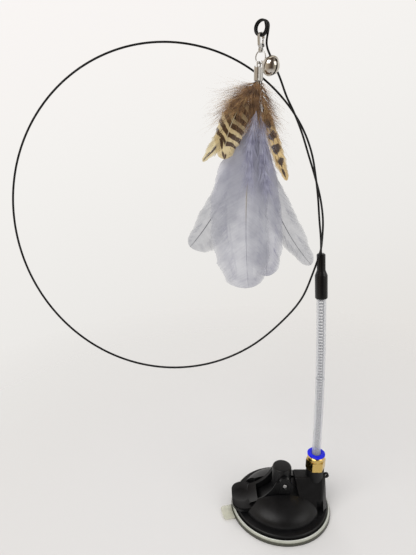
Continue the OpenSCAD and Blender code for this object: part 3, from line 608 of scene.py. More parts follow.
@dataclass(frozen=True)
class Down(Finish):
    """The soft, hair-like barbs at a feather's base."""

    light: Colour
    dark: Colour

    def build(self) -> bpy.types.Material:
        """Makes the material.

        Returns:
            The new material.
        """
        s = Shader(self.name, roughness=0.8, sheen_weight=0.5, sheen_roughness=0.5)
        tuft = s.noise(260.0, 3.0)
        s.feed("Base Color", s.ramp(tuft, (0.35, self.dark), (0.65, self.light)))
        s.feed("Roughness", s.spread(s.noise(900.0, 2.0), 0.7, 0.9))
        return s.material


@dataclass(frozen=True)
class Palette:
    """Every finish on the wand. Those of the solids are named after the record's slots."""

    finishes: tuple[Finish, ...] = (
        MouldedPlastic("black_plastic", linear(15, 15, 16), gloss=0.38),
        DiscRubber(
            # The wall colour is painted shade, and the colour of the lip's top edge is a painted highlight
            "clear_rubber", wall=linear(62, 62, 50), lip=linear(196, 197, 182), crest_highlight=linear(232, 232, 222),
            tab=linear(240, 238, 216)),
        Metal("steel", linear(222, 222, 222), gloss=0.34),
        Metal("brass", linear(220, 190, 116), gloss=0.22, patches=2600.0, tarnish=linear(204, 172, 100)),
        MouldedPlastic("black_rubber", linear(16, 16, 16), gloss=0.6),
        MouldedPlastic("blue_plastic", linear(8, 22, 222), gloss=0.3, unevenness=0.06),
        ClearPlastic("clear_hose", linear(232, 233, 236), alpha=0.16, gloss=0.06, milk=0.08),
        Metal("spring_steel", linear(112, 112, 118), gloss=0.3),
        MouldedPlastic("black_sleeve", linear(12, 12, 14), gloss=0.26, unevenness=0.08, shine=0.4),
        MouldedPlastic("black_wire", linear(9, 9, 10), gloss=0.4, grain=4000.0),
        Vane(
            "grey_a", Pattern.PLAIN, linear(216, 216, 220), linear(186, 186, 194),
            top=linear(184, 183, 198), shaft=linear(206, 200, 188), shaft_end=0.68, sweep=0.1,
            # On grey_a the dark marks are painted crease shade: darker patches where the vane folds and
            # splits
            spot_and_shade_share=0.42, see_through=0.08,
            spots_and_crease_shade=((0.8, -0.42, 0.12, 0.035), (0.9, -0.6, 0.07, 0.03), (0.93, 0.16, 0.09, 0.13),
                   (0.66, -0.5, 0.1, 0.03))),
        Vane(
            "grey_b", Pattern.PLAIN, linear(214, 214, 219), linear(180, 180, 191),
            top=linear(174, 173, 192), shaft=linear(188, 187, 194), shaft_end=0.5, see_through=0.12),
        Vane(
            "grey_side", Pattern.PLAIN, linear(206, 206, 208), linear(178, 179, 183),
            top=linear(180, 180, 190), shaft=linear(128, 128, 134), see_through=0.2),
        Vane(
            "brown_a", Pattern.BARRED, linear(246, 224, 172), linear(78, 52, 30),
            top=linear(120, 88, 56), shaft=linear(232, 220, 190), sweep=0.2, tilt=-0.09,
            bars=8.8, bar_end=0.85, see_through=0.04,
            spots_and_crease_shade=((0.9, -0.45, 0.06, 0.2), (1.0, 0.05, 0.05, 0.3))),
        Vane(
            "brown_b", Pattern.SPOTTED, linear(240, 222, 172), linear(70, 48, 28),
            top=linear(150, 112, 70), shaft=linear(240, 230, 210), sweep=0.13, see_through=0.08, fray=0.8,
            spots_and_crease_shade=((0.82, 0.2, 0.14, 0.24), (0.95, -0.1, 0.06, 0.2))),
        Vane(
            "brown_c", Pattern.SPOTTED, linear(236, 204, 140), linear(62, 40, 20),
            top=linear(128, 84, 44), shaft=linear(120, 84, 48), sweep=0.13, see_through=0.05, fray=0.8,
            spots_and_crease_shade=((0.28, 0.1, 0.04, 0.5), (0.41, -0.1, 0.04, 0.55), (0.54, 0.1, 0.04, 0.55),
                   (0.67, 0.05, 0.045, 0.6), (0.81, 0.1, 0.045, 0.5), (0.94, -0.1, 0.05, 0.3))),
        Vane(
            "brown_d", Pattern.PLAIN, linear(150, 120, 88), linear(100, 72, 46),
            top=linear(96, 66, 42), shaft=linear(120, 90, 60), see_through=0.3),
        Down("brown_down", linear(178, 134, 86), linear(82, 54, 34)),
        Down("golden_down", linear(222, 184, 124), linear(150, 108, 64)),
        Down("grey_down", linear(204, 203, 218), linear(160, 158, 182)),
        Metal("nickel", linear(206, 205, 202), gloss=0.16),
        Metal("bell_nickel", linear(214, 208, 198), gloss=0.09, unevenness=0.05),
        Metal("cap_nickel", linear(214, 211, 206), gloss=0.13),
    )

    def make(self) -> dict[str, bpy.types.Material]:
        """Makes all the materials.

        Returns:
            The materials by name.
        """
        return {finish.name: finish.build() for finish in self.finishes}


class Surround(Nodes):
    """The world: a pale sweep, a darker room that only mirrors show, and a soft grey light."""

    LIGHT = (0.95, 0.96, 1.0)
    STRENGTH = 0.45

    def __init__(self) -> None:
        """Makes an empty world and reads the three directions of a ray."""
        world = bpy.data.worlds.new("surround")
        bpy.context.scene.world = world
        world.use_nodes = True
        super().__init__(world.node_tree)
        self.tree.nodes.clear()
        ray = self.node("TexCoord").outputs["Generated"]
        self.right, self.away, self.up = self.node("SeparateXYZ", Vector=ray).outputs
        path = self.node("LightPath").outputs
        self.direct = path["Is Camera Ray"]
        self.glossy = path["Is Glossy Ray"]
        self.through = path["Is Transmission Ray"]

    def sweep(self) -> Socket:
        """Makes the pale sweep, whiter towards the top.

        Returns:
            Its colour's socket.
        """
        slope = self.math("SUBTRACT", self.up, self.math("MULTIPLY", self.right, 0.3))
        return self.ramp(self.math("MULTIPLY_ADD", slope, 0.8, 0.66), (0.0, linear(226, 222, 219)),
                         (0.26, linear(229, 226, 222)), (0.44, linear(236, 234, 231)),
                         (0.68, linear(243, 241, 238)), (0.98, linear(251, 247, 245)))

    def room(self) -> Socket:
        """Makes the room behind the camera.

        Returns:
            Its colour's socket.
        """
        return self.ramp(self.math("MULTIPLY_ADD", self.right, 0.5, 0.5), (0.1, linear(196, 184, 168)),
                         (0.36, linear(110, 94, 80)), (0.6, linear(78, 68, 62)),
                         (0.85, linear(186, 180, 170)))

    def build(self) -> None:
        """Joins sweep, room and light."""
        behind = self.math("MULTIPLY_ADD", self.away, -1.8, 0.55)
        above = self.math("MULTIPLY_ADD", self.up, 2.2, -0.9)
        share = self.limit(self.math("MAXIMUM", behind, above))
        mirrored = self.math("MULTIPLY", share, self.glossy)
        seen = self.node("Background", Color=self.mix_colours(mirrored, self.sweep(), self.room()))
        light = self.node("Background", Color=self.LIGHT, Strength=self.STRENGTH)
        either = self.math("MAXIMUM", self.direct, self.math("MAXIMUM", self.glossy, self.through))
        both = self.mix_shaders(either, light.outputs[0], seen.outputs[0])
        self.tree.links.new(both, self.node("OutputWorld").inputs[0])


@dataclass(frozen=True)
class Lamp:
    """One soft square lamp, in metres and watts."""

    name: str
    place: tuple[float, float, float]
    size: float
    power: float
    mirrored: bool = True

    def hang(self, aim: Sequence[float]) -> None:
        """Adds the lamp to the scene.

        Args:
            aim: The point that it faces.
        """
        data = bpy.data.lights.new(self.name, "AREA")
        data.size, data.energy = self.size, self.power
        lamp = bpy.data.objects.new(self.name, data)
        lamp.visible_glossy = self.mirrored
        lamp.location = self.place
        lamp.rotation_euler = (Vector(aim) - Vector(self.place)).to_track_quat("-Z", "Y").to_euler()
        bpy.context.scene.collection.objects.link(lamp)


@dataclass(frozen=True)
class Studio:
    """Camera, lamps, floor and world, in metres and degrees."""

    place: tuple[float, float, float] = (-0.0518, -0.26428, 0.25825)
    pitch: float = 72.56
    roll: float = -0.35
    lens: float = 29.124
    sensor: float = 36.0
    sight: tuple[float, float] = (0.01, 20.0)
    lamps: tuple[Lamp, ...] = (
        Lamp("key", (-0.9, -0.9, 1.5), 1.2, 16.0),
        Lamp("fill", (1.2, -0.8, 0.9), 1.0, 5.0),
        Lamp("back", (0.1, 1.2, 1.1), 1.2, 6.0, mirrored=False),
    )
    aim: tuple[float, float, float] = (0.0, 0.0, 0.15)
    floor_radius: float = 0.6
    floor_sides: int = 96
    fade_start: float = 0.09
    fade_length: float = 0.32

    def camera(self) -> None:
        """Adds the camera at the photograph's place."""
        data = bpy.data.cameras.new("camera")
        data.lens = self.lens
        data.sensor_width = self.sensor
        data.clip_start, data.clip_end = self.sight
        eye = bpy.data.objects.new("camera", data)
        eye.rotation_mode = "XYZ"
        turn = Euler((math.radians(self.pitch), 0.0, 0.0)).to_matrix()
        turn = turn @ Euler((0.0, 0.0, math.radians(self.roll))).to_matrix()
        eye.rotation_euler = turn.to_euler()
        eye.location = self.place
        bpy.context.scene.collection.objects.link(eye)
        bpy.context.scene.camera = eye

    def floor(self) -> None:
        """Adds the floor, which fades into the surround far from the wand."""
        many = self.floor_sides
        points = [(0.0, 0.0, 0.0)]
        points += [(self.floor_radius * math.cos(k * math.tau / many),
                    self.floor_radius * math.sin(k * math.tau / many), 0.0) for k in range(many)]
        faces = [(0, 1 + k, 1 + (k + 1) % many) for k in range(many)]
        mesh = bpy.data.meshes.new("floor")
        mesh.from_pydata(points, [], faces)
        floor = bpy.data.objects.new("floor", mesh)
        bpy.context.scene.collection.objects.link(floor)
        s = Shader("floor", base_color=linear(237, 234, 230))
        s.feed("Roughness", s.spread(s.noise(12.0, 3.0), 0.65, 0.85))
        length = s.filled("VectorMath", s.position)
        length.operation = "LENGTH"
        past = s.math("SUBTRACT", length.outputs["Value"], self.fade_start)
        far = s.math("DIVIDE", past, self.fade_length)
        clear = s.node("BsdfTransparent").outputs[0]
        faded = s.mix_shaders(s.limit(far), s.surface.outputs[0], clear)
        s.tree.links.new(faded, s.output.inputs["Surface"])
        mesh.materials.append(s.material)

    def set_up(self) -> None:
        """Builds the whole studio."""
        self.camera()
        Surround().build()
        self.floor()
        for lamp in self.lamps:
            lamp.hang(self.aim)


class Skin:
    """Points and faces of one piece, with a place on the barbs for each point."""

    def __init__(self, name: str) -> None:
        """Starts an empty piece.

        Args:
            name: The piece's name.
        """
        self.name = name
        self.points: list[Vector] = []
        self.marks: list[tuple[float, float]] = []
        self.faces: list[tuple[int, ...]] = []

    def add(self, points: Iterable[Vector], marks: Iterable[tuple[float, float]]) -> int:
        """Adds points.

        Args:
            points: The points, in metres.
            marks: For each, its share along the feather and its place across the vane, 0 to 1.

        Returns:
            The first new point's number.
        """
        first = len(self.points)
        self.points.extend(points)
        self.marks.extend(marks)
        return first

    def tube(self, path: Sequence[Vector], radii: Sequence[float], sides: int,
             reference: Vector = DEEP) -> None:
        """Adds a round tube along a path, with closed ends.

        Args:
            path: Its middle line.
            radii: Its radius at each point.
            sides: Its sides.
            reference: A direction that the path never takes.
        """
        rows = []
        for i, centre in enumerate(path):
            along = (path[min(i + 1, len(path) - 1)] - path[max(i - 1, 0)]).normalized()
            first = reference.cross(along).normalized()
            second = along.cross(first)
            ring = [centre + radii[i] * (math.cos(k * math.tau / sides) * first
                                         + math.sin(k * math.tau / sides) * second) for k in range(sides)]
            rows.append(self.add(ring, [(i / (len(path) - 1), 0.5)] * sides))
        for low, high in zip(rows, rows[1:]):
            for k in range(sides):
                n = (k + 1) % sides
                self.faces.append((low + k, low + n, high + n, high + k))
        self.faces.append(tuple(reversed(range(rows[0], rows[0] + sides))))
        self.faces.append(tuple(range(rows[-1], rows[-1] + sides)))

    def ribbon(self, path: Sequence[Vector], widths: Sequence[float], facing: Vector, mark: float) -> None:
        """Adds a thin flat strand.

        Args:
            path: Its middle line.
            widths: Its width at each point.
            facing: The direction that its flat side faces.
            mark: Its place across the vane.
        """
        rows = []
        for i, centre in enumerate(path):
            along = path[min(i + 1, len(path) - 1)] - path[max(i - 1, 0)]
            across = along.cross(facing).normalized() * (widths[i] / 2)
            share = i / (len(path) - 1)
            rows.append(self.add([centre - across, centre + across], [(share, mark)] * 2))
        for low, high in zip(rows, rows[1:]):
            self.faces.append((low, low + 1, high + 1, high))

    def make(self, material: bpy.types.Material) -> bpy.types.Object:
        """Turns the points and faces into an object.

        Args:
            material: Its material.

        Returns:
            The new object.
        """
        mesh = bpy.data.meshes.new(self.name)
        mesh.from_pydata([tuple(p) for p in self.points], [], self.faces)
        layer = mesh.uv_layers.new(name="barbs")
        for loop in mesh.loops:
            layer.data[loop.index].uv = self.marks[loop.vertex_index]
        mesh.polygons.foreach_set("use_smooth", [True] * len(mesh.polygons))
        mesh.materials.append(material)
        mesh.update()
        piece = bpy.data.objects.new(self.name, mesh)
        bpy.context.scene.collection.objects.link(piece)
        return piece


@dataclass(frozen=True)
class Cap:
    """The metal cap's mouth, where the quills come out, in millimetres."""

    along_pin: Vector = Vector((0.765509, -0.643425, 0.0))
    across_pin: Vector = Vector((0.643425, 0.765509, 0.0))
    step_deep: float = 0.72
    step_wide: float = 1.413
    quill_top: float = 6.2
    layer_gap: float = 1.3
    middle_slot: float = 1.5

    def mouth(self) -> Vector:
        """Middle of the cap's lower edge.

        Returns:
            The point, in millimetres.
        """
        low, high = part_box("feather_cap")
        return Vector(((low.x + high.x) / 2, (low.y + high.y) / 2, low.z)) / MM


@dataclass(frozen=True)
class FeatherPlan:
    """One feather: its course, outline and finish. Lengths in millimetres, angles in degrees."""

    node: str
    first: float
    last: float
    length: float
    bare: float
    layer: float
    slot: int
    back: bool
    outline: tuple[tuple[float, float, float], ...]
    finish: str
    lead: float = 0.11
    shaft: float = 0.33
    crease: float = 0.3
    curl: float = 1.1
    ragged: float = 0.035
    bow: float = 0.0


class Quill:
    """The middle line of one feather, from the cap's mouth to its tip."""

    STEPS = 48
    BEND = 0.06
    SETTLE = 0.3
    BOW_START = 0.2

    def __init__(self, plan: FeatherPlan, cap: Cap) -> None:
        """Works the line out.

        Args:
            plan: The feather.
            cap: The cap that holds it.
        """
        self.plan, self.cap = plan, cap
        self.mouth = cap.mouth()
        side = -1.0 if plan.back else 1.0
        self.start = cap.along_pin * (side * cap.step_deep)
        self.start += cap.across_pin * ((plan.slot - cap.middle_slot) * cap.step_wide)
        self.goal = Vector((0.0, plan.layer * cap.layer_gap, 0.0))
        self.steps = [Vector((0.0, 0.0, 0.0))]
        for i in range(self.STEPS):
            onward = plan.length / self.STEPS * self.along((i + 0.5) / self.STEPS)
            self.steps.append(self.steps[-1] + onward)

    def angle(self, t: float) -> float:
        """Angle of the line to the right of straight down.

        Args:
            t: Share of the feather's length.

        Returns:
            The angle in degrees.
        """
        return (self.plan.first + (self.plan.last - self.plan.first) * t) * min(1.0, max(t, 0.0) / self.BEND)

    def at(self, t: float) -> Vector:
        """A point on the line.

        Args:
            t: Share of the feather's length.

        Returns:
            The point, in millimetres.
        """
        place = min(max(t, 0.0), 1.0) * self.STEPS
        low = min(self.STEPS - 1, int(place))
        flat = self.steps[low].lerp(self.steps[low + 1], place - low)
        k = ease(min(1.0, t / self.SETTLE))
        bow = Vector((0.0, self.plan.bow * max(0.0, t - self.BOW_START) ** 2, 0.0))
        return self.mouth + self.start * (1 - k) + self.goal * k + flat + bow

    def across(self, t: float) -> Vector:
        """Direction to the right across the vane.

        Args:
            t: Share of the feather's length.

        Returns:
            The direction.
        """
        turn = math.radians(self.angle(t))
        return Vector((math.cos(turn), 0.0, math.sin(turn)))

    def along(self, t: float) -> Vector:
        """Direction towards the tip.

        Args:
            t: Share of the feather's length.

        Returns:
            The direction.
        """
        turn = math.radians(self.angle(t))
        return Vector((math.sin(turn), 0.0, -math.cos(turn)))

    def half_width(self, t: float, side: int) -> float:
        """Width of the vane on one side.

        Args:
            t: Share of the feather's length.
            side: -1 for the left and 1 for the right.

        Returns:
            The width in millimetres.
        """
        rows = self.plan.outline
        column = 1 if side < 0 else 2
        if t <= rows[0][0]:
            return rows[0][column]
        if t >= rows[-1][0]:
            share = (t - rows[-1][0]) / (1.0 - rows[-1][0])
            return rows[-1][column] * math.sqrt(max(0.0, 1.0 - share * share))
        for low, high in zip(rows, rows[1:]):
            if t <= high[0]:
                k = ease((t - low[0]) / (high[0] - low[0]))
                return low[column] * (1 - k) + high[column] * k
        return 0.0


class Ripple:
    """A smooth, seeded waver along a line."""

    def __init__(self, rng: random.Random, *beats: float) -> None:
        """Draws the phases.

        Args:
            rng: The random source.
            *beats: Waves for each unit.
        """
        self.parts = [(beat, rng.uniform(0, math.tau), 1.0 / (k + 1)) for k, beat in enumerate(beats)]
        self.size = sum(part[2] for part in self.parts)

    def __call__(self, x: float) -> float:
        """Reads the waver.

        Args:
            x: Place along the line.

        Returns:
            A value from -1 to 1.
        """
        waves = (share * math.sin(math.tau * beat * x + phase) for beat, phase, share in self.parts)
        return sum(waves) / self.size


class Feather:
    """Builds one feather: vane, shaft and the barbs that stray from its edge."""

    BARB = 0.42
    COLUMNS = 8
    GROWTH = 0.06
    JITTER = 0.012
    LEAN = 0.28
    BOW = 0.62
    STRAYS = 0.9
    STRAY_WIDTH = 0.16
    SHAFT_STEPS = 40
    SHAFT_SIDES = 8

    def __init__(self, plan: FeatherPlan, cap: Cap, seed: int) -> None:
        """Prepares the feather.

        Args:
            plan: The feather.
            cap: The cap that holds it.
            seed: Seed of its irregularities.
        """
        self.plan = plan
        self.quill = Quill(plan, cap)
        self.rng = random.Random(seed)
        self.widest = max(max(row[1], row[2]) for row in plan.outline)

    def _end_share(self, t: float) -> float:
        """Where along the feather a barb ends.

        Args:
            t: Where it starts.

        Returns:
            Share of the feather's length.
        """
        lead = self.plan.lead
        return t + lead * min(1.0, (1.0 - t) / (2 * lead))

    def _vane_side(self, skin: Skin, side: int) -> None:
        """Adds the vane on one side of the shaft.

        Args:
            skin: The piece that grows.
            side: -1 for the left and 1 for the right.
        """
        plan, quill = self.plan, self.quill
        count = round(plan.length * (1 - plan.bare) / self.BARB)
        ragged, deep = Ripple(self.rng, 7, 17, 41, 83), Ripple(self.rng, 2.3, 5.1, 9.7)
        rows: list[int] = []
        for i in range(count + 1):
            t = plan.bare + (1 - plan.bare) * i / count
            tip = min(1.0, max(plan.bare, self._end_share(t)))
            grown = min(1.0, (t - plan.bare) / self.GROWTH)
            uneven = 1 + plan.ragged * ragged(t * 1.7) + self.rng.uniform(-self.JITTER, self.JITTER)
            reach = max(plan.shaft * 0.8, quill.half_width(tip, side) * uneven * grown)
            root, goal = quill.at(t), quill.at(tip) + quill.across(tip) * (side * reach)
            middle = root + quill.across(t) * (side * reach * self.BOW)
            middle += quill.along(t) * ((goal - root).length * self.LEAN)
            points, marks = [], []
            for j in range(self.COLUMNS + 1):
                u = j / self.COLUMNS
                p = root * (1 - u) ** 2 + middle * (2 * u * (1 - u)) + goal * (u * u)
                back = plan.curl * (reach / self.widest) * u * u
                back += plan.crease * deep(t * 1.3 + u * 0.35) * u * min(1.0, reach / 6)
                points.append((p + Vector((0.0, back, 0.0))) * MM)
                marks.append((t, 0.5 + side * u / 2))
            rows.append(skin.add(points, marks))
        for low, high in zip(rows, rows[1:]):
            for j in range(self.COLUMNS):
                face = (low + j, low + j + 1, high + j + 1, high + j)
                skin.faces.append(face if side < 0 else tuple(reversed(face)))

    def _stray_barbs(self, skin: Skin, number: int) -> None:
        """Adds loose barbs that stand a little off the vane's edge.

        Args:
            skin: The piece that grows.
            number: How many.
        """
        plan, quill = self.plan, self.quill
        for _ in range(number):
            side = self.rng.choice((-1, 1))
            t = self.rng.uniform(plan.bare + 0.03, 0.97)
            end = min(1.0, self._end_share(t) + self.rng.uniform(-0.01, 0.02))
            reach = quill.half_width(end, side)
            root = quill.at(t) + quill.across(t) * (side * reach * 0.55) + quill.along(t) * (reach * 0.25)
            goal = quill.at(end) + quill.across(end) * (side * reach * self.rng.uniform(1.0, 1.09))
            lift = Vector((0.0, plan.curl * reach / self.widest + self.rng.uniform(-0.4, 0.5), 0.0))
            path = [(root.lerp(goal, k / 4) + lift * (k / 4) ** 2
                     + quill.along(t) * (reach * 0.06 * math.sin(k / 4 * math.pi))) * MM for k in range(5)]
            widths = [self.STRAY_WIDTH * MM * (1 - 0.8 * k / 4) for k in range(5)]
            skin.ribbon(path, widths, DEEP, 0.5 + side * 0.35)

    def build(self, material: bpy.types.Material) -> bpy.types.Object:
        """Makes the feather.

        Args:
            material: Its material.

        Returns:
            The new piece.
        """
        plan, quill = self.plan, self.quill
        skin = Skin(plan.node + "_vane")
        for side in (-1, 1):
            self._vane_side(skin, side)
        self._stray_barbs(skin, round(plan.length * self.STRAYS))
        top = quill.mouth + quill.start + Vector((0.0, 0.0, quill.cap.quill_top))
        shares = [k / self.SHAFT_STEPS for k in range(self.SHAFT_STEPS + 1)]
        path = [top * MM] + [quill.at(t) * MM for t in shares]
        radii = [plan.shaft * MM] + [plan.shaft * MM * (1 - 0.78 * t ** 1.2) for t in shares]
        skin.tube(path, radii, self.SHAFT_SIDES)
        return skin.make(material)


@dataclass(frozen=True)
class DownPlan:
    """One bunch of down. Lengths in millimetres, angles in degrees."""

    name: str
    feather: int
    finish: str
    tufts: int
    reach: tuple[float, float]
    lengths: tuple[float, float]
    left: tuple[float, float]
    right: tuple[float, float]
    left_share: float = 0.5
    droop: float = 0.25
    hairs: int = 7
    thick: float = 0.09
    depth: float = 0.35
    lift: float = 0.0


class DownBunch:
    """Builds one bunch of down round a feather's quill."""

    JOINTS = 7
    WAVER = 0.05
    LOOSE = 0.14

    def __init__(self, plan: DownPlan, quill: Quill, seed: int) -> None:
        """Prepares the bunch.

        Args:
            plan: The bunch.
            quill: The quill that it grows on.
            seed: Seed of its irregularities.
        """
        self.plan, self.quill = plan, quill
        self.rng = random.Random(seed)

    def _hair(self, skin: Skin, root: Vector, aim: Vector, sag: Vector, length: float,
              spread: Vector) -> None:
        """Adds one hair.

        Args:
            skin: The piece that grows.
            root: Where it starts.
            aim: Where it sets out to.
            sag: Where it bends to.
            length: Its length.
            spread: How far its end strays.
        """
        waver = Ripple(self.rng, 0.8, 1.9)
        side = aim.cross(DEEP).normalized()
        path = []
        for k in range(self.JOINTS + 1):
            s = k / self.JOINTS
            p = root + aim * (length * s) + sag * (length * s * s) + spread * (s ** 1.6)
            p += side * (self.WAVER * length * waver(s) * s)
            path.append(p * MM)
        widths = [self.plan.thick * MM * (1.15 - s / self.JOINTS) for s in range(self.JOINTS + 1)]
        facing = Vector((self.rng.uniform(-0.6, 0.6), 1.0, self.rng.uniform(-0.6, 0.6)))
        skin.ribbon(path, widths, facing.normalized(), self.rng.random())

    def build(self, material: bpy.types.Material) -> bpy.types.Object:
        """Makes the bunch.

        Args:
            material: Its material.

        Returns:
            The new piece.
        """
        plan, rng, quill = self.plan, self.rng, self.quill
        skin = Skin(plan.name)
        for _ in range(plan.tufts):
            t = rng.uniform(*plan.reach)
            share = (t - plan.reach[0]) / (plan.reach[1] - plan.reach[0])
            side = -1 if rng.random() < plan.left_share else 1
            low, high = plan.left if side < 0 else plan.right
            turn = math.radians(rng.triangular(low, high, low + (high - low) * 0.35))
            aim = quill.along(t) * math.cos(turn) + quill.across(t) * (side * math.sin(turn))
            aim += Vector((0.0, rng.gauss(0.0, plan.depth), 0.0))
            aim.normalize()
            length = rng.uniform(*plan.lengths) * (1 - 0.35 * abs(share - 0.4))
            root = quill.at(t) + Vector((0.0, rng.uniform(-0.3, 0.3) - plan.lift * min(1.0, t / 0.1), 0.0))
            sag = Vector((0.0, 0.0, -plan.droop * rng.uniform(0.2, 1.4)))
            for _ in range(plan.hairs):
                loose = length * self.LOOSE
                spread = Vector([rng.gauss(0.0, loose) for _ in range(3)])
                self._hair(skin, root, aim, sag, length * rng.uniform(0.6, 1.08), spread)
        return skin.make(material)


@dataclass(frozen=True)
class CrispEdges:
    """Smooth shading for the solids, with an edge wherever two faces meet sharply."""

    sharp: float = 32.0
    join: float = 0.000002

    def tree(self) -> bpy.types.NodeTree:
        """Makes the node group that joins the solids' corners and marks their sharp edges.

        Returns:
            The node group.
        """
        tree = bpy.data.node_groups.new("crisp_edges", "GeometryNodeTree")
        for way in ("INPUT", "OUTPUT"):
            tree.interface.new_socket("Geometry", in_out=way, socket_type="NodeSocketGeometry")
        source, goal = tree.nodes.new("NodeGroupInput"), tree.nodes.new("NodeGroupOutput")
        weld = tree.nodes.new("GeometryNodeMergeByDistance")
        weld.inputs["Distance"].default_value = self.join
        normal = tree.nodes.new("GeometryNodeSetMeshNormal")
        normal.mode = "SHARPNESS"
        normal.inputs["Remove Custom"].default_value = True
        bend = tree.nodes.new("GeometryNodeInputMeshEdgeAngle")
        over = tree.nodes.new("ShaderNodeMath")
        over.operation = "GREATER_THAN"
        over.inputs[1].default_value = math.radians(self.sharp)
        tree.links.new(source.outputs[0], weld.inputs["Geometry"])
        tree.links.new(weld.outputs[0], normal.inputs["Mesh"])
        tree.links.new(bend.outputs["Unsigned Angle"], over.inputs[0])
        tree.links.new(over.outputs[0], normal.inputs["Edge Sharpness"])
        tree.links.new(normal.outputs[0], goal.inputs[0])
        return tree


class Workshop:
    """What every sub-assembly needs: the materials, the record's slots and the crisp edges."""

    def __init__(self) -> None:
        """Makes the materials and the edges' node group."""
        self.materials = Palette().make()
        self.slots = {part["node"]: part["material_slot"] for part in frame["record"]["subparts"]}
        self.edges = CrispEdges().tree()

    def dress(self, name: str) -> bpy.types.Object:
        """Gives one of the frame's solids its finish and its crisp edges.

        Args:
            name: The solid's node.

        Returns:
            The solid.
        """
        solid = frame["nodes"][name]
        solid.data.materials.clear()
        solid.data.materials.append(self.materials.get(self.slots[name], self.materials["grey_a"]))
        solid.modifiers.new("edges", "NODES").node_group = self.edges
        return solid


@dataclass(frozen=True)
class SubAssembly:
    """Base of every sub-assembly: solids of the frame, and pieces built here."""

    solids: tuple[str, ...] = ()

    def build(self, workshop: Workshop) -> list[bpy.types.Object]:
        """Dresses the solids.

        Args:
            workshop: The materials and edges.

        Returns:
            The sub-assembly's pieces.
        """
        return [workshop.dress(name) for name in self.solids]


@dataclass(frozen=True)
class Mast(SubAssembly):
    """The clear tube with its spring, along a leaning, slightly bent axis, in millimetres."""

    solids: tuple[str, ...] = ("clear_tube", "tube_spring")
    foot: Vector = Vector((23.6, 0.0, 34.75))
    bend: float = 1780.0
    length: float = 135.3
    sway: float = 42.0
    nod: float = 98.0
    outer: float = 3.0
    wall: float = 1.0
    wire: float = 0.5
    curls: int = 62
    spring_start: float = 1.0
    spring_end: float = 130.08
    grip: float = 14.0
    joint_gap: float = 1.0
    socket: float = 9.5
    rings: int = 36
    sides: int = 48
    spring_play: float = 0.2
    turn_steps: int = 16
    spring_sides: int = 7

    def at(self, s: float) -> Vector:
        """A point on the axis.

        Args:
            s: Distance from the tube's lower end.

        Returns:
            The point.
        """
        a = s / self.bend
        return self.foot + Vector((-self.bend * (1 - math.cos(a)), 0.0, self.bend * math.sin(a)))

    def right(self, s: float) -> Vector:
        """Direction to the right across the axis.

        Args:
            s: Distance from the tube's lower end.

        Returns:
            The direction.
        """
        a = s / self.bend
        return Vector((math.cos(a), 0.0, math.sin(a)))

    def hose(self, name: str, low: float, high: float) -> Skin:
        """Builds one stretch of the tube, with its wall.

        Args:
            name: The piece's name.
            low: Where it starts.
            high: Where it ends.

        Returns:
            The piece's points and faces.
        """
        skin = Skin(name)
        rows, sides = self.rings, self.sides
        walls = []
        for radius in (self.outer, self.outer - self.wall):
            firsts = []
            for i in range(rows + 1):
                s = low + (high - low) * i / rows
                turns = [k * math.tau / sides for k in range(sides)]
                ring = [(self.at(s) + radius * (math.cos(a) * self.right(s) + math.sin(a) * DEEP)) * MM
                        for a in turns]
                firsts.append(skin.add(ring, [(i / rows, 0.5)] * sides))
            walls.append(firsts)
        for inward, firsts in enumerate(walls):
            for a, b in zip(firsts, firsts[1:]):
                for k in range(sides):
                    n = (k + 1) % sides
                    face = (a + k, a + n, b + n, b + k)
                    skin.faces.append(tuple(reversed(face)) if inward else face)
        for end in (0, -1):
            a, b = walls[0][end], walls[1][end]
            for k in range(sides):
                n = (k + 1) % sides
                face = (a + k, b + k, b + n, a + n)
                skin.faces.append(face if end == 0 else tuple(reversed(face)))
        return skin

    def coil(self, name: str, low: float, high: float) -> Skin:
        """Builds one stretch of the spring.

        Args:
            name: The piece's name.
            low: Where it starts.
            high: Where it ends.

        Returns:
            The piece's points and faces.
        """
        skin = Skin(name)
        pitch = (self.spring_end - self.spring_start) / self.curls
        radius = self.outer - self.wall - self.wire / 2 - self.spring_play
        steps = round((high - low) / pitch * self.turn_steps)
        path = []
        for i in range(steps + 1):
            s = low + (high - low) * i / steps
            spin = math.tau * (s - self.spring_start) / pitch
            path.append((self.at(s) + radius * (math.cos(spin) * self.right(s) + math.sin(spin) * DEEP)) * MM)
        radii = [self.wire / 2 * MM] * len(path)
        skin.tube(path, radii, self.spring_sides, reference=Vector((0.0, 0.0, 1.0)))
        return skin

    def build(self, workshop: Workshop) -> list[bpy.types.Object]:
        """Makes tube and spring in a lower and an upper stretch.

        Args:
            workshop: The materials and edges.

        Returns:
            The mast's pieces.
        """
        pieces = super().build(workshop)
        half = (self.sway + self.nod) / 2
        stretches = (
            ("lower", 0.0, half, "base", "mast", self.grip, half - self.joint_gap),
            ("upper", half, self.length, "mast", "wand", half + self.joint_gap, self.length - self.socket),
        )
        for name, low, high, below, above, first, last in stretches:
            hose = self.hose("clear_tube_" + name, low, high)
            coil = self.coil("tube_spring_" + name, max(low, self.spring_start), min(high, self.spring_end))
            skins = ((hose, "clear_tube", "clear_hose"), (coil, "tube_spring", "spring_steel"))
            for skin, node, finish in skins:
                piece = skin.make(workshop.materials[finish])
                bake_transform(piece)
                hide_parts(node)
                pieces.append(piece)
        return pieces


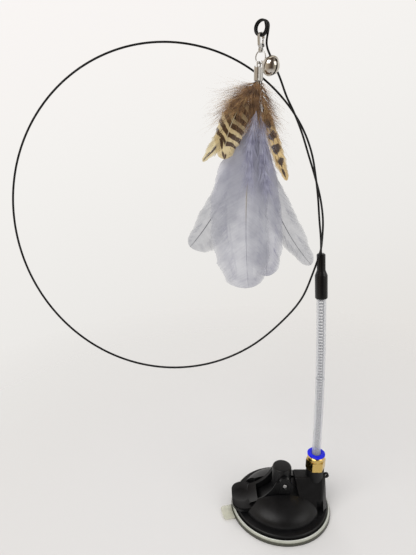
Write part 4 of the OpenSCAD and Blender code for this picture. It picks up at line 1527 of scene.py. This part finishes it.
@dataclass(frozen=True)
class SuctionBase(SubAssembly):
    """The base: housing, stem and lever, and the clear suction disc's sizes in millimetres."""

    solids: tuple[str, ...] = ("housing", "stem", "lever_pin", "lever", "suction_disc")
    profile: tuple[tuple[float, float], ...] = (
        (35.0, 0.0), (35.6, 0.3), (35.6, 0.8), (35.35, 1.6), (35.05, 2.5), (34.7, 3.3), (34.4, 3.7),
        (34.1, 3.85), (33.85, 3.7), (33.7, 3.3), (33.6, 2.7), (33.3, 2.4), (27.0, 2.4), (24.0, 2.85),
    )
    hub: tuple[tuple[float, float], ...] = (
        (24.0, 2.85), (20.0, 3.45), (14.0, 4.35), (10.0, 5.0), (9.2, 5.2), (9.0, 5.6), (9.0, 9.2), (8.8, 9.5),
        (7.0, 9.5), (6.8, 9.3), (6.8, 5.7), (8.05, 5.65), (8.05, 4.1), (0.0, 4.1),
    )
    under_hub: tuple[tuple[float, float], ...] = (
        (0.0, 2.0), (6.0, 1.9), (12.0, 1.6), (18.0, 1.05), (24.0, 0.25),
    )
    under: tuple[tuple[float, float], ...] = ((24.0, 0.25), (27.0, 0.0), (31.0, 0.0), (35.0, 0.0))
    tab_half: float = 6.0
    tab_low: float = 0.6
    tab_high: float = 1.8
    tab_end: float = 43.5
    tab_root: float = 33.8
    tab_round: float = 2.4
    tab_turn: float = 11.0
    tab_bevel: float = 0.25
    foot_top: float = 4.1
    rim_sides: int = 144
    hub_sides: int = 96
    reach: float = 35.0

    def _revolve(self, skin: Skin, rows: Sequence[tuple[float, float]], steps: int) -> None:
        """Adds a closed ring or disc from its section.

        Args:
            skin: The piece that grows.
            rows: Radius and height of the section's corners, in order.
            steps: Points round it.
        """
        firsts = []
        for radius, height in rows:
            many = 1 if radius == 0.0 else steps
            turns = [k * math.tau / steps for k in range(many)]
            ring = [Vector((radius * math.cos(a), radius * math.sin(a), height)) * MM for a in turns]
            firsts.append((skin.add(ring, [(radius / self.reach, 0.5)] * many), many))
        for (a, na), (b, nb) in zip(firsts, firsts[1:]):
            for k in range(steps):
                n = (k + 1) % steps
                if na == 1 and nb == 1:
                    break
                if na == 1:
                    skin.faces.append((a, b + n, b + k))
                elif nb == 1:
                    skin.faces.append((a + k, a + n, b))
                else:
                    skin.faces.append((a + k, a + n, b + n, b + k))

    def _add_tab(self, skin: Skin) -> None:
        """Adds the pull tab with rounded corners and softened edges.

        Args:
            skin: The piece that grows.
        """
        corner = Vector((self.tab_end - self.tab_round, self.tab_half - self.tab_round, 0.0))
        arc = [(self.tab_round * math.cos(math.radians(a)), self.tab_round * math.sin(math.radians(a)))
               for a in range(0, 91, 15)]
        outline = [Vector((self.tab_root, -self.tab_half, 0.0))]
        outline += [Vector((corner.x + x, -corner.y - y, 0.0)) for x, y in reversed(arc)]
        outline += [Vector((corner.x + x, corner.y + y, 0.0)) for x, y in arc]
        outline.append(Vector((self.tab_root, self.tab_half, 0.0)))
        bevel = self.tab_bevel
        turned = Euler((0.0, 0.0, math.radians(180.0 + self.tab_turn))).to_matrix()
        centre = Vector((corner.x, 0.0, 0.0))
        rows = []
        levels = ((bevel, self.tab_low), (0.0, self.tab_low + bevel), (0.0, self.tab_high - bevel),
                  (bevel, self.tab_high))
        for inset, height in levels:
            ring = [(turned @ (p + (centre - p).normalized() * inset + Vector((0.0, 0.0, height)))) * MM
                    for p in outline]
            rows.append(skin.add(ring, [(1.0, 0.5)] * len(ring)))
        many = len(outline)
        for a, b in zip(rows, rows[1:]):
            for k in range(many):
                n = (k + 1) % many
                skin.faces.append((a + k, b + k, b + n, a + n))
        skin.faces.append(tuple(range(rows[0], rows[0] + many)))
        skin.faces.append(tuple(reversed(range(rows[-1], rows[-1] + many))))

    def build(self, workshop: Workshop) -> list[bpy.types.Object]:
        """Makes the disc's rim with its pull tab, and its middle.

        Args:
            workshop: The materials and edges.

        Returns:
            The base's pieces.
        """
        rim = Skin("suction_rim")
        self._revolve(rim, (*self.under, *self.profile[1:], self.under[0]), self.rim_sides)
        self._add_tab(rim)
        edge = rim.make(workshop.materials["clear_rubber"])
        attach(edge, "base")
        middle = Skin("suction_middle")
        self._revolve(middle, (*self.under_hub, *self.hub), self.hub_sides)
        hub = middle.make(workshop.materials["clear_rubber"])
        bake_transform(hub)
        for piece in (edge, hub):
            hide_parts("suction_disc")
        return [*super().build(workshop), edge, hub]


@dataclass(frozen=True)
class PushFitting(SubAssembly):
    """The brass push-to-connect fitting with its seal, claws and collar."""

    solids: tuple[str, ...] = ("fitting_body", "o_ring", "grip_ring", "release_collar")


@dataclass(frozen=True)
class Wand(SubAssembly):
    """The sleeve on the tube's end and the wire loop that it carries, in millimetres."""

    solids: tuple[str, ...] = ("sleeve", "wire_ferrule", "loop_wire")
    wire_sides: int = 8
    wire_radius: float = 0.6
    weld: float = 0.01
    roundings: int = 2

    def build(self, workshop: Workshop) -> list[bpy.types.Object]:
        """Dresses the solids and rounds the wire, giving back the thickness that rounding takes.

        Args:
            workshop: The materials and edges.

        Returns:
            The wand's pieces.
        """
        pieces = super().build(workshop)
        wire = frame["nodes"]["loop_wire"]
        wire.modifiers.new("join", "WELD").merge_threshold = self.weld * MM
        rounded = wire.modifiers.new("round", "SUBSURF")
        rounded.levels = rounded.render_levels = self.roundings
        lost = self.wire_radius * (1 - (2 + math.cos(math.tau / self.wire_sides)) / 3)
        grow = wire.modifiers.new("grow", "DISPLACE")
        grow.mid_level = 0.0
        grow.strength = lost * MM
        return pieces


@dataclass(frozen=True)
class LobsterClasp(SubAssembly):
    """The clasp that hangs in the wire's eye, with its sprung gate and the ring below it."""

    solids: tuple[str, ...] = ("clasp_body", "clasp_gate", "clasp_rivet", "jump_ring")


@dataclass(frozen=True)
class RoundBell(SubAssembly):
    """The bell: two pressed halves, the pellet inside and the wire loop on top."""

    solids: tuple[str, ...] = ("bell_top", "bell_bottom", "bell_ball", "bell_loop")


FEATHERS = (
    FeatherPlan("grey_feather_a", -9.2, 5.7, 123.4, 0.16, -0.4, 2, False,
                ((0.16, 0.5, 0.5), (0.3, 11.2, 8.0), (0.42, 18.6, 10.5), (0.58, 22.0, 13.0),
                 (0.72, 21.8, 14.5), (0.85, 19.0, 14.5), (0.94, 14.5, 11.0)),
                "grey_a", crease=0.7, curl=2.4, ragged=0.03, bow=-3.0),
    FeatherPlan("grey_feather_b", 6.4, 2.8, 116.9, 0.18, 0.6, 2, True,
                ((0.18, 0.5, 0.5), (0.34, 7.0, 5.0), (0.5, 10.0, 8.5), (0.68, 11.0, 10.6), (0.84, 10.0, 10.6),
                 (0.93, 8.0, 8.5)), "grey_b", crease=0.6, curl=2.0, ragged=0.03, bow=2.0),
    FeatherPlan("grey_feather_c", -5.7, -39.8, 107.5, 0.2, 1.6, 1, True,
                ((0.2, 0.4, 0.4), (0.4, 6.0, 8.5), (0.62, 8.0, 12.0), (0.8, 8.1, 14.5), (0.92, 5.5, 13.0)),
                "grey_side", crease=0.5, curl=2.0, ragged=0.05, bow=6.0),
    FeatherPlan("grey_feather_d", -3.7, 42.1, 120.7, 0.2, 2.6, 3, True,
                ((0.2, 0.4, 0.4), (0.42, 6.0, 6.5), (0.65, 8.0, 9.6), (0.82, 7.0, 9.2), (0.93, 4.6, 6.0)),
                "grey_side", crease=0.5, curl=2.0, ragged=0.05, bow=8.0),
    FeatherPlan("brown_feather_a", -49.7, -2.2, 48.0, 0.16, -2.4, 0, False,
                ((0.16, 0.4, 0.4), (0.36, 5.4, 6.4), (0.55, 7.2, 8.8), (0.76, 7.2, 8.4), (0.9, 5.0, 5.6)),
                "brown_a", lead=0.16, shaft=0.3, crease=0.3, curl=0.8, ragged=0.07),
    FeatherPlan("brown_feather_b", -32.1, -41.8, 54.7, 0.2, -1.4, 1, False,
                ((0.2, 0.3, 0.3), (0.45, 3.6, 3.8), (0.7, 4.4, 4.5), (0.86, 3.4, 3.4), (0.95, 1.6, 1.6)),
                "brown_b", lead=0.13, shaft=0.26, crease=0.2, curl=0.8, ragged=0.2),
    FeatherPlan("brown_feather_c", 13.8, 23.9, 58.5, 0.2, -1.4, 3, False,
                ((0.2, 0.3, 0.3), (0.4, 2.9, 3.5), (0.62, 3.4, 4.2), (0.82, 3.2, 3.9), (0.93, 1.8, 2.4)),
                "brown_c", lead=0.13, shaft=0.26, crease=0.25, curl=0.8, ragged=0.16),
    FeatherPlan("brown_feather_d", -12.0, 6.0, 41.0, 0.2, 3.6, 0, True,
                ((0.2, 0.4, 0.4), (0.45, 7.0, 7.0), (0.7, 9.6, 9.6), (0.9, 6.4, 6.4)),
                "brown_d", lead=0.2, shaft=0.28, crease=0.3, curl=0.8, ragged=0.12),
)

DOWN = (
    DownPlan("down_brown_left", 4, "brown_down", 150, (0.0, 0.42), (10.0, 24.0), (15.0, 75.0), (5.0, 50.0),
             left_share=0.72, droop=0.4, lift=0.5),
    DownPlan("down_brown_lump", 4, "golden_down", 56, (0.16, 0.42), (9.0, 16.0), (20.0, 60.0), (5.0, 30.0),
             left_share=0.88, droop=0.3, lift=0.8),
    DownPlan("down_brown_middle", 7, "brown_down", 110, (0.0, 0.5), (9.0, 19.0), (5.0, 55.0), (5.0, 40.0),
             droop=0.35, lift=1.6),
    DownPlan("down_brown_front", 0, "brown_down", 90, (0.0, 0.15), (8.0, 17.0), (0.0, 40.0), (0.0, 26.0),
             left_share=0.6, droop=0.3, lift=1.4, depth=0.14),
    DownPlan("down_wisps_left", 4, "golden_down", 34, (0.05, 0.5), (18.0, 27.0), (35.0, 80.0), (5.0, 20.0),
             left_share=1.0, droop=0.35, hairs=5, thick=0.06),
    DownPlan("down_wisps_right", 6, "brown_down", 44, (0.0, 0.6), (11.0, 20.0), (5.0, 20.0), (20.0, 60.0),
             left_share=0.0, droop=0.35, hairs=4, thick=0.055, depth=0.2),
    DownPlan("down_brown_right", 6, "brown_down", 70, (0.0, 0.35), (8.0, 16.0), (5.0, 35.0), (15.0, 60.0),
             left_share=0.3, droop=0.45),
    DownPlan("down_golden_right", 6, "golden_down", 30, (0.1, 0.34), (5.0, 10.0), (5.0, 25.0), (10.0, 50.0),
             left_share=0.4, droop=0.4, lift=0.4),
    DownPlan("down_grey_middle", 0, "grey_down", 110, (0.13, 0.42), (10.0, 22.0), (0.0, 26.0), (0.0, 26.0),
             droop=0.2, lift=2.6, thick=0.13, depth=0.12),
    DownPlan("down_grey_right", 1, "grey_down", 90, (0.16, 0.5), (10.0, 20.0), (0.0, 22.0), (5.0, 38.0),
             left_share=0.4, droop=0.25, lift=2.4, thick=0.13, depth=0.12),
)


@dataclass(frozen=True)
class Lure(SubAssembly):
    """The feathers and their down, all held by the metal cap."""

    solids: tuple[str, ...] = ("feather_cap", *(plan.node for plan in FEATHERS))
    cap: Cap = Cap()
    feather_seed: int = 100
    down_seed: int = 500

    def build(self, workshop: Workshop) -> list[bpy.types.Object]:
        """Makes every feather and every bunch of down.

        Args:
            workshop: The materials and edges.

        Returns:
            The lure's pieces.
        """
        pieces = super().build(workshop)
        quills = []
        for number, plan in enumerate(FEATHERS):
            feather = Feather(plan, self.cap, self.feather_seed + number)
            piece = feather.build(workshop.materials[plan.finish])
            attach(piece, "feathers")
            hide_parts(plan.node)
            quills.append(Quill(plan, self.cap))
            pieces.append(piece)
        for number, plan in enumerate(DOWN):
            bunch = DownBunch(plan, quills[plan.feather], self.down_seed + number)
            piece = bunch.build(workshop.materials[plan.finish])
            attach(piece, "feathers")
            pieces.append(piece)
        return pieces


def main() -> None:
    """Builds the sub-assemblies in order and reports each piece."""
    logging.basicConfig(level=logging.INFO, format="%(message)s")
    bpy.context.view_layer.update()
    bpy.context.scene.view_settings.view_transform = "Standard"
    workshop = Workshop()
    Studio().set_up()
    for assembly in (SuctionBase(), PushFitting(), Mast(), Wand(), LobsterClasp(), RoundBell(), Lure()):
        for piece in assembly.build(workshop):
            log.info("%s: %s, %d faces", type(assembly).__name__, piece.name, len(piece.data.polygons))


if __name__ == "__main__":
    main()
